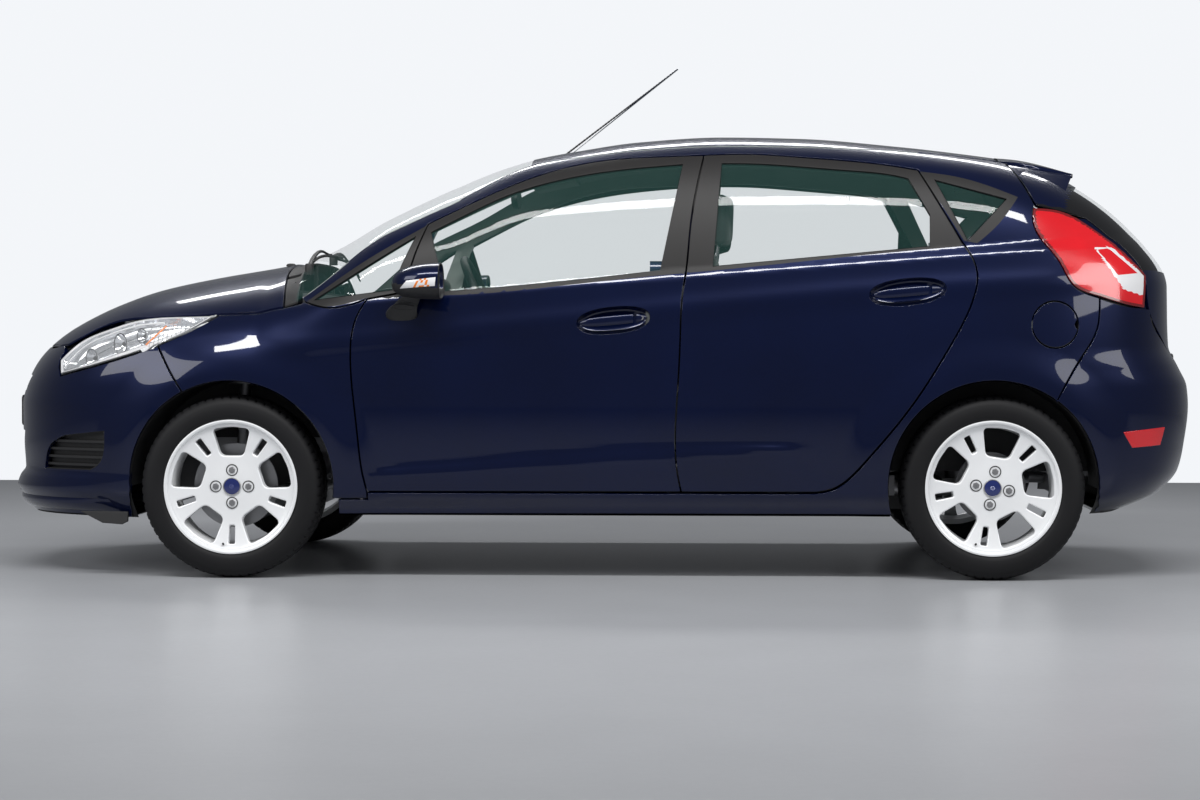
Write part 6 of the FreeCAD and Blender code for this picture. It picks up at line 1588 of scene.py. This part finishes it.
def seatPieces(tag, x, y, half, flip):
    low = cushion([(x + 14 + 452 * u, 442 - 36 * u + 10 * math.sin(math.pi * u))
                   for u in np.linspace(0, 1, 30)], half, 104)
    back = cushion([(x + 462 + 218 * u - 16 * math.sin(math.pi * u), 442 + 628 * u)
                    for u in np.linspace(0, 1, 34)], half - 8, 92, 18.0)
    head = cushion([(x + 704 + 6 * u, 1100 + 172 * u) for u in np.linspace(0, 1, 22)], 130, 84, 0.0, 2.6, 48,
                   10.0)
    pieces = (("cushion", low, 56, 30, (5, 23)), ("back", back, 56, 34, (5, 23)),
              ("head", head, 48, 22, None))
    for name, part, columns, rows, seams in pieces:
        part = twoTone(part, columns) if seams else part
        extra = []
        if seams:
            extra = [cord(part, np.arange(3, rows - 3) * columns + s) for s in seams]
            extra += [cord(part, row * columns + np.arange(seams[0], seams[1] + 1))
                      for row in (rows // 3, 2 * rows // 3)]
        obj = plain(name + "_" + tag, "body", [finish["cloth"], finish["seam"], finish["panel"]],
                    moved([part] + extra, (0, y, 0)), flip, replaces="front_seats", sharp=70)
    posts = [tube([(x + 690, dy, 1040), (x + 702, dy, 1130)], 6, 12) for dy in (-70, 70)]
    base = [block(x + 60, x + 480, dy - 14, dy + 14, 246, 372, 1) for dy in (-150, 150)]
    pan = ovals([((x + 90 + 380 * u, 0, 384 - 10 * u), (0, half - 30, 0), (0, 0, 18))
                 for u in np.linspace(0, 1, 8)], 24, 1)
    plain("seat_frame_" + tag, "body", [finish["steel"], finish["black"]],
          moved(posts + base + [pan], (0, y, 0)), flip, replaces="front_seats", sharp=35, bevel=2.0)


for hand, flip in hands:
    seatPieces("front_" + hand, seatLook["x"], -seatLook["y"], seatLook["half"], flip)

wide, columns = bench["half"], bench["columns"]
low = cushion([(rx(-428) + 376 * u, 512 - 8 * u) for u in np.linspace(0, 1, 26)], wide, 96, 8.0, 7.0,
              columns, 10.0)
back = cushion([(rx(-2) + 128 * u, 556 + 436 * u) for u in np.linspace(0, 1, 30)], wide, 84, 8.0, 7.0,
               columns, 8.0)
for name, part, rows in (("rear_cushion", low, 26), ("rear_back", back, 30)):
    part = twoTone(part, columns, 0.8)
    extra = [cord(part, np.arange(3, rows - 3) * columns + c) for c in (14, 21, 27, 34)]
    extra.append(cord(part, rows // 2 * columns + np.arange(6, 43)))
    obj = plain(name, "body", [finish["cloth"], finish["seam"], finish["panel"]], [part] + extra,
                replaces="rear_seat", sharp=70)
for tag, y in (("left", -bench["headY"]), ("middle", 0.0), ("right", bench["headY"])):
    size = 1.0 if y else 0.8
    head = cushion([(rx(138) + 10 * u, 1012 + 140 * size * u) for u in np.linspace(0, 1, 20)], 118, 72, 0.0,
                   2.6, 48, 8.0)
    obj = plain("rear_head_" + tag, "body", [finish["cloth"]], moved([head], (0, y, 0)),
                replaces="rear_seat", sharp=70)
    posts = [tube([(rx(132), y + d, 960), (rx(140), y + d, 1030)], 5, 12) for d in (-50, 50)]
    plain("rear_head_posts_" + tag, "body", [finish["steel"]], posts, replaces="rear_seat", sharp=40)
print("seats made")

# steering wheel: grip, boss and three flat spokes
steer = dict(lean=math.radians(25.0), radius=171.0, grip=14.0, x=fx(800), y=-360.0, z=900.0)
axisOut = np.array([math.cos(steer["lean"]), 0, math.sin(steer["lean"])])
acrossWheel = np.array([0, 1.0, 0])
upWheel = np.cross(axisOut, acrossWheel)
upWheel = upWheel if upWheel[2] > 0 else -upWheel
centreWheel = np.array([steer["x"], steer["y"], steer["z"]])


def spoke(q):
    return acrossWheel * math.cos(q) + upWheel * math.sin(q)


ringRows = []
for q in turnAngles(96):
    thick = steer["grip"] + 1.4 * math.exp(-((math.sin(q) - 0.45) / 0.2) ** 2)
    ringRows.append((centreWheel + spoke(q) * steer["radius"], spoke(q) * thick, axisOut * thick))
bossRows = []
c = turnAngles(48)
shape = ((np.abs(np.cos(c)) ** 2.8 + np.abs(np.sin(c)) ** 2.8) ** (-1 / 2.8))[:, None]
for r, h in ((52, -26), (58, -16), (62, -2), (60, 8), (52, 14), (36, 17), (12, 18)):
    bossRows.append(centreWheel + axisOut * h + r * shape * (
        acrossWheel * 1.12 * np.cos(c)[:, None] + upWheel * np.sin(c)[:, None]))
wheelParts = [ovals(ringRows, 18, wrapRows=True), closedGrid(np.array(bossRows))]
for q, wide in ((0.0, 22), (math.pi, 22), (-math.pi / 2, 26)):
    out = spoke(q)
    sideways = np.cross(axisOut, out)
    wheelParts.append(ovals([(centreWheel + out * r + axisOut * h, sideways * w, axisOut * 8) for r, w, h in (
        (44, wide + 8, 2), (80, wide, 0), (120, wide - 4, -2), (160, wide, 0), (168, wide + 4, 0))], 16))
plain("steering_ring", "steering_wheel", [finish["black"]], wheelParts,
      replaces="steering_wheel", sharp=50)

# dashboard: rolled pad over its length, hood, vents, screen and the console with its levers
dashOutline = curve([(fx(384), 690), (fx(380), 860), (fx(400), 918), (fx(470), 958), (fx(560), 966),
                     (fx(630), 958), (fx(678), 918), (fx(684), 880), (fx(650), 820), (fx(630), 760),
                     (fx(590), 700), (fx(552), 650), (fx(450), 618), (fx(384), 690)], 12)[:-1]
dashHalf, centre = 652.0, np.array([fx(530), 800])
dashRows = []
for y in np.linspace(-dashHalf, dashHalf, 41):
    bow = 14 * (y / dashHalf) ** 2
    q = centre + (dashOutline - centre) * (1 - 0.03 * (abs(y) / dashHalf) ** 8)
    dashRows.append(np.stack([q[:, 0] - bow * 0.4, np.full(len(q), y), q[:, 1] - bow * 0.5], 1))
dash = closedGrid(np.array(dashRows))
hoodRows = []
for y in np.linspace(-505, -215, 21):
    u = (y + 360) / 145
    h = 40 * max(0.0, 1 - abs(u) ** 3) ** 0.5
    hoodRows.append(((fx(592) + 12 * (1 - u * u), y, 950 + h * 0.25), (66, 0, 0), (0, 0, 8 + h)))
screenRows = [((fx(600), y, 968), (34, 0, 0), (0, 0, 34)) for y in np.linspace(-100, 100, 9)]
dashExtra = [ovals(hoodRows, 24), ovals(screenRows, 24)]
for y in (-590, -150, 150, 590):
    ring = [(fx(690) + 1, y + 38 * math.cos(k), 890 + 38 * math.sin(k))
            for k in np.linspace(0, 2 * np.pi, 33)]
    dashExtra += [disc((fx(690), y, 890), (1, 0, 0.12), 40, 6, 1, 32, 6), tube(ring, 3.5, 8, 2)]
for y in (-30, 0, 30):
    dashExtra.append(disc((fx(668), y * 1.9, 800), (1, 0, 0.2), 19, -10, 1, 28, 6))
console = ovals([((x, 0, (z + 334) / 2), (0, 96, 0), (0, 0, (z - 334) / 2)) for x, z in (
    (fx(500), 690), (fx(640), 694), (fx(700), 640), (fx(760), 560), (fx(900), 536), (fx(1200), 536),
    (fx(1400), 520))], 28, 0, (0.35, 0.3))
boot = ovals([((fx(800), 0, z), (r, 0, 0), (0, r * 0.8, 0)) for r, z in (
    (62, 534), (56, 552), (44, 574), (30, 596), (16, 612), (9, 625))], 24)
lever = tube([(fx(800), 0, 610), (fx(800), 0, 690)], 7, 12, 2)
knob = ovals([((fx(800), 0, z), (r, 0, 0), (0, r, 0)) for r, z in (
    (8, 682), (19, 694), (24, 712), (21, 730), (10, 738))], 20)
brakeLever = tube([(fx(1120), 40, 540), (fx(1080), 40, 572), (fx(960), 40, 604), (fx(900), 40, 612)],
                  [14, 13, 12, 10], 14, 1)
column = tube([centreWheel - axisOut * 245, centreWheel - axisOut * 34], [44, 40], 20)
stalks = [tube([centreWheel - axisOut * 60, centreWheel - axisOut * 52 + acrossWheel * k * 90,
                centreWheel - axisOut * 40 + acrossWheel * k * 165], [7, 6, 8], 10) for k in (-1, 1)]
plain("dashboard_pad", "body", [finish["trim"], finish["black"], finish["steel"]],
      [dash, column] + dashExtra + stalks, replaces="dashboard", sharp=45)
plain("centre_console", "body", [finish["trim"], finish["black"], finish["steel"]],
      [console, boot, lever, knob, brakeLever], replaces="dashboard", sharp=45)

# door cards with armrest and pull, parcel shelf, inner mirror, sun visors
cardSheet = sideSurface(sheetFoot, roofSeam, depth=76.5)


def turnedIn(meshes):
    return [(p, -n, [q[::-1] for q in f], m) for p, n, f, m in meshes]


cards = dict(front=[(fx(500), 330), (fx(490), 860), (fx(650), 920), (fx(1420), 1000), (fx(1415), 345)],
             rear=[(rx(-960), 345), (rx(-975), 1000), (rx(-250), 1040), (rx(-120), 1030), (rx(-160), 850),
                   (rx(-420), 520), (rx(-500), 345)])
for tag, corners in cards.items():
    edge = loop(straightRuns(corners))
    card = turnedIn(trimmed(cardSheet, edge, step=(24, 14), rim=-0.1, hem=0.1))
    x0, x1 = (fx(760), fx(1300)) if tag == "front" else (rx(-820), rx(-330))
    rows = []
    for u in np.linspace(0, 1, 17):
        x = x0 + (x1 - x0) * u
        z = 640 + 60 * u + (40 if tag == "rear" else 0)
        w = 34 * (1 - abs(2 * u - 1) ** 4) ** 0.5 + 2
        rows.append(((x, 92 - float(side(x, z)), z), (0, w, 0), (0, 0, 22)))
    rest = ovals(rows, 20, 1)
    for hand, flip in hands:
        plain(tag + "_card_" + hand, tag + "_door_" + hand, [finish["trim"], finish["black"]],
              card + [rest], flip, sharp=60)
shelf = ovals([((rx(112) + 240 * u, 0, 962 + 4 * math.sin(math.pi * u)), (0, 545 - 30 * u, 0), (0, 0, 8))
               for u in np.linspace(0, 1, 13)], 40, 0, (0.15, 1))
plain("parcel_shelf", "body", [finish["black"]], [shelf], sharp=60)
glassX, glassZ = fx(880), float(crown(fx(880), 0)) - 95
glassCase = ovals([((glassX + k, 0, glassZ), (0, 118 * s, 0), (0, 0, 34 * s))
                   for k, s in ((-16, 0.5), (-12, 0.9), (0, 1.0), (10, 0.98))], 32)
stalk = tube([(fx(862), 0, float(crown(fx(862), 0)) - 12), (fx(868), 0, float(crown(fx(868), 0)) - 60),
              (glassX - 8, 0, glassZ + 6)], 8, 12)
visorRows = [(fx(930) + 150 * u, float(crown(fx(930) + 150 * u, 330)) - 56) for u in np.linspace(0, 1, 9)]
visors = [ovals([((x, y, z), (0, 190, 0), (0, 0, 8)) for x, z in visorRows], 28, 1, (0.3, 1))
          for y in (-330, 330)]
plain("inner_mirror", "body", [finish["black"], finish["roofCloth"]],
      [glassCase, stalk] + visors, sharp=50)
print("cabin made")

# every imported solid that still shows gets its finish
slotFinish = dict(paint="paint", glass="glass", lamp="chrome", red_lamp="gloss", black_plastic="black",
                  steel="steel", engine="engine", interior="trim", cloth="cloth", rubber="rubber",
                  alloy="alloy")
for name, obj in frame["nodes"].items():
    found = [m.name for m in obj.data.materials if m]
    slotName = next((s for s in slotFinish if found and found[0].startswith(s)), None)
    obj.data.materials.clear()
    kind = "black" if name in ("front_wells", "rear_wells") else slotFinish.get(slotName, "black")
    obj.data.materials.append(finish[kind])
print("solids finished")

# floor, backdrop, lamps and camera
studio = dict(floor=(0.40, 0.41, 0.43), behind=(0.90, 0.92, 0.95), halfFloor=7.5, floorStart=-9.0,
              floorEnd=4.9, light=0.20, lens=78.49, psi=2.5, theta=1.434, eye=(0.41855, -9.33, 0.80))
edge, start, end = studio["halfFloor"], studio["floorStart"], studio["floorEnd"]
mesh = bpy.data.meshes.new("studio_floor")
mesh.from_pydata([(-edge, start, 0), (edge, start, 0), (edge, end, 0), (-edge, end, 0)], [], [(0, 1, 2, 3)])
mesh.materials.append(material("studio floor", studio["floor"], 0.32, grain=0.03, grainSize=40, tone=0.02))
placed("studio_floor", mesh)

world = bpy.data.worlds.new("studio")
bpy.context.scene.world = world
world.use_nodes = True
wn, wl = world.node_tree.nodes, world.node_tree.links
back = wn["Background"]
back.inputs["Color"].default_value = (0.80, 0.83, 0.88, 1)
back.inputs["Strength"].default_value = studio["light"]
seen = wn.new("ShaderNodeBackground")
seen.inputs["Color"].default_value = (*studio["behind"], 1)
ray = wn.new("ShaderNodeLightPath")
eyes = wn.new("ShaderNodeMath")
eyes.operation = "MAXIMUM"
wl.new(ray.outputs["Is Camera Ray"], eyes.inputs[0])
wl.new(ray.outputs["Is Transmission Ray"], eyes.inputs[1])
pick = wn.new("ShaderNodeMixShader")
wl.new(eyes.outputs[0], pick.inputs["Fac"])
wl.new(back.outputs[0], pick.inputs[1])
wl.new(seen.outputs[0], pick.inputs[2])
wl.new(pick.outputs[0], wn["World Output"].inputs["Surface"])


def lamp(name, place, aim, size, power):
    light = bpy.data.lights.new(name, "AREA")
    light.shape = "RECTANGLE"
    light.size, light.size_y = size
    light.energy = power
    obj = placed(name, light)
    obj.location = place
    obj.rotation_euler = (Vector(aim) - Vector(place)).to_track_quat("-Z", "Y").to_euler()
    obj.visible_camera = False


lamp("long softbox", (0, -3.4, 4.4), (0, 0, 0.6), (6.0, 0.4), 250)
lamp("far softbox", (0, 2.6, 4.0), (0, 0, 0.6), (6.0, 0.4), 110)
lamp("front softbox", (-5.4, -4.2, 3.4), (-1.2, 0, 0.6), (3.2, 2.4), 120)
lamp("rear softbox", (5.4, -4.2, 3.4), (1.2, 0, 0.6), (3.2, 2.4), 120)

psi = math.radians(studio["psi"])
theta = math.radians(studio["theta"])
forward = Vector((-math.sin(psi) * math.cos(theta), math.cos(psi) * math.cos(theta), -math.sin(theta)))
camera = bpy.data.cameras.new("photo view")
camera.sensor_width = 36
camera.lens = studio["lens"]
camera.clip_end = 60
cameraObject = placed("photo view", camera)
cameraObject.location = studio["eye"]
cameraObject.rotation_euler = forward.to_track_quat("-Z", "Y").to_euler()
bpy.context.scene.camera = cameraObject
bpy.context.scene.view_settings.view_transform = "Standard"
print("stage set")
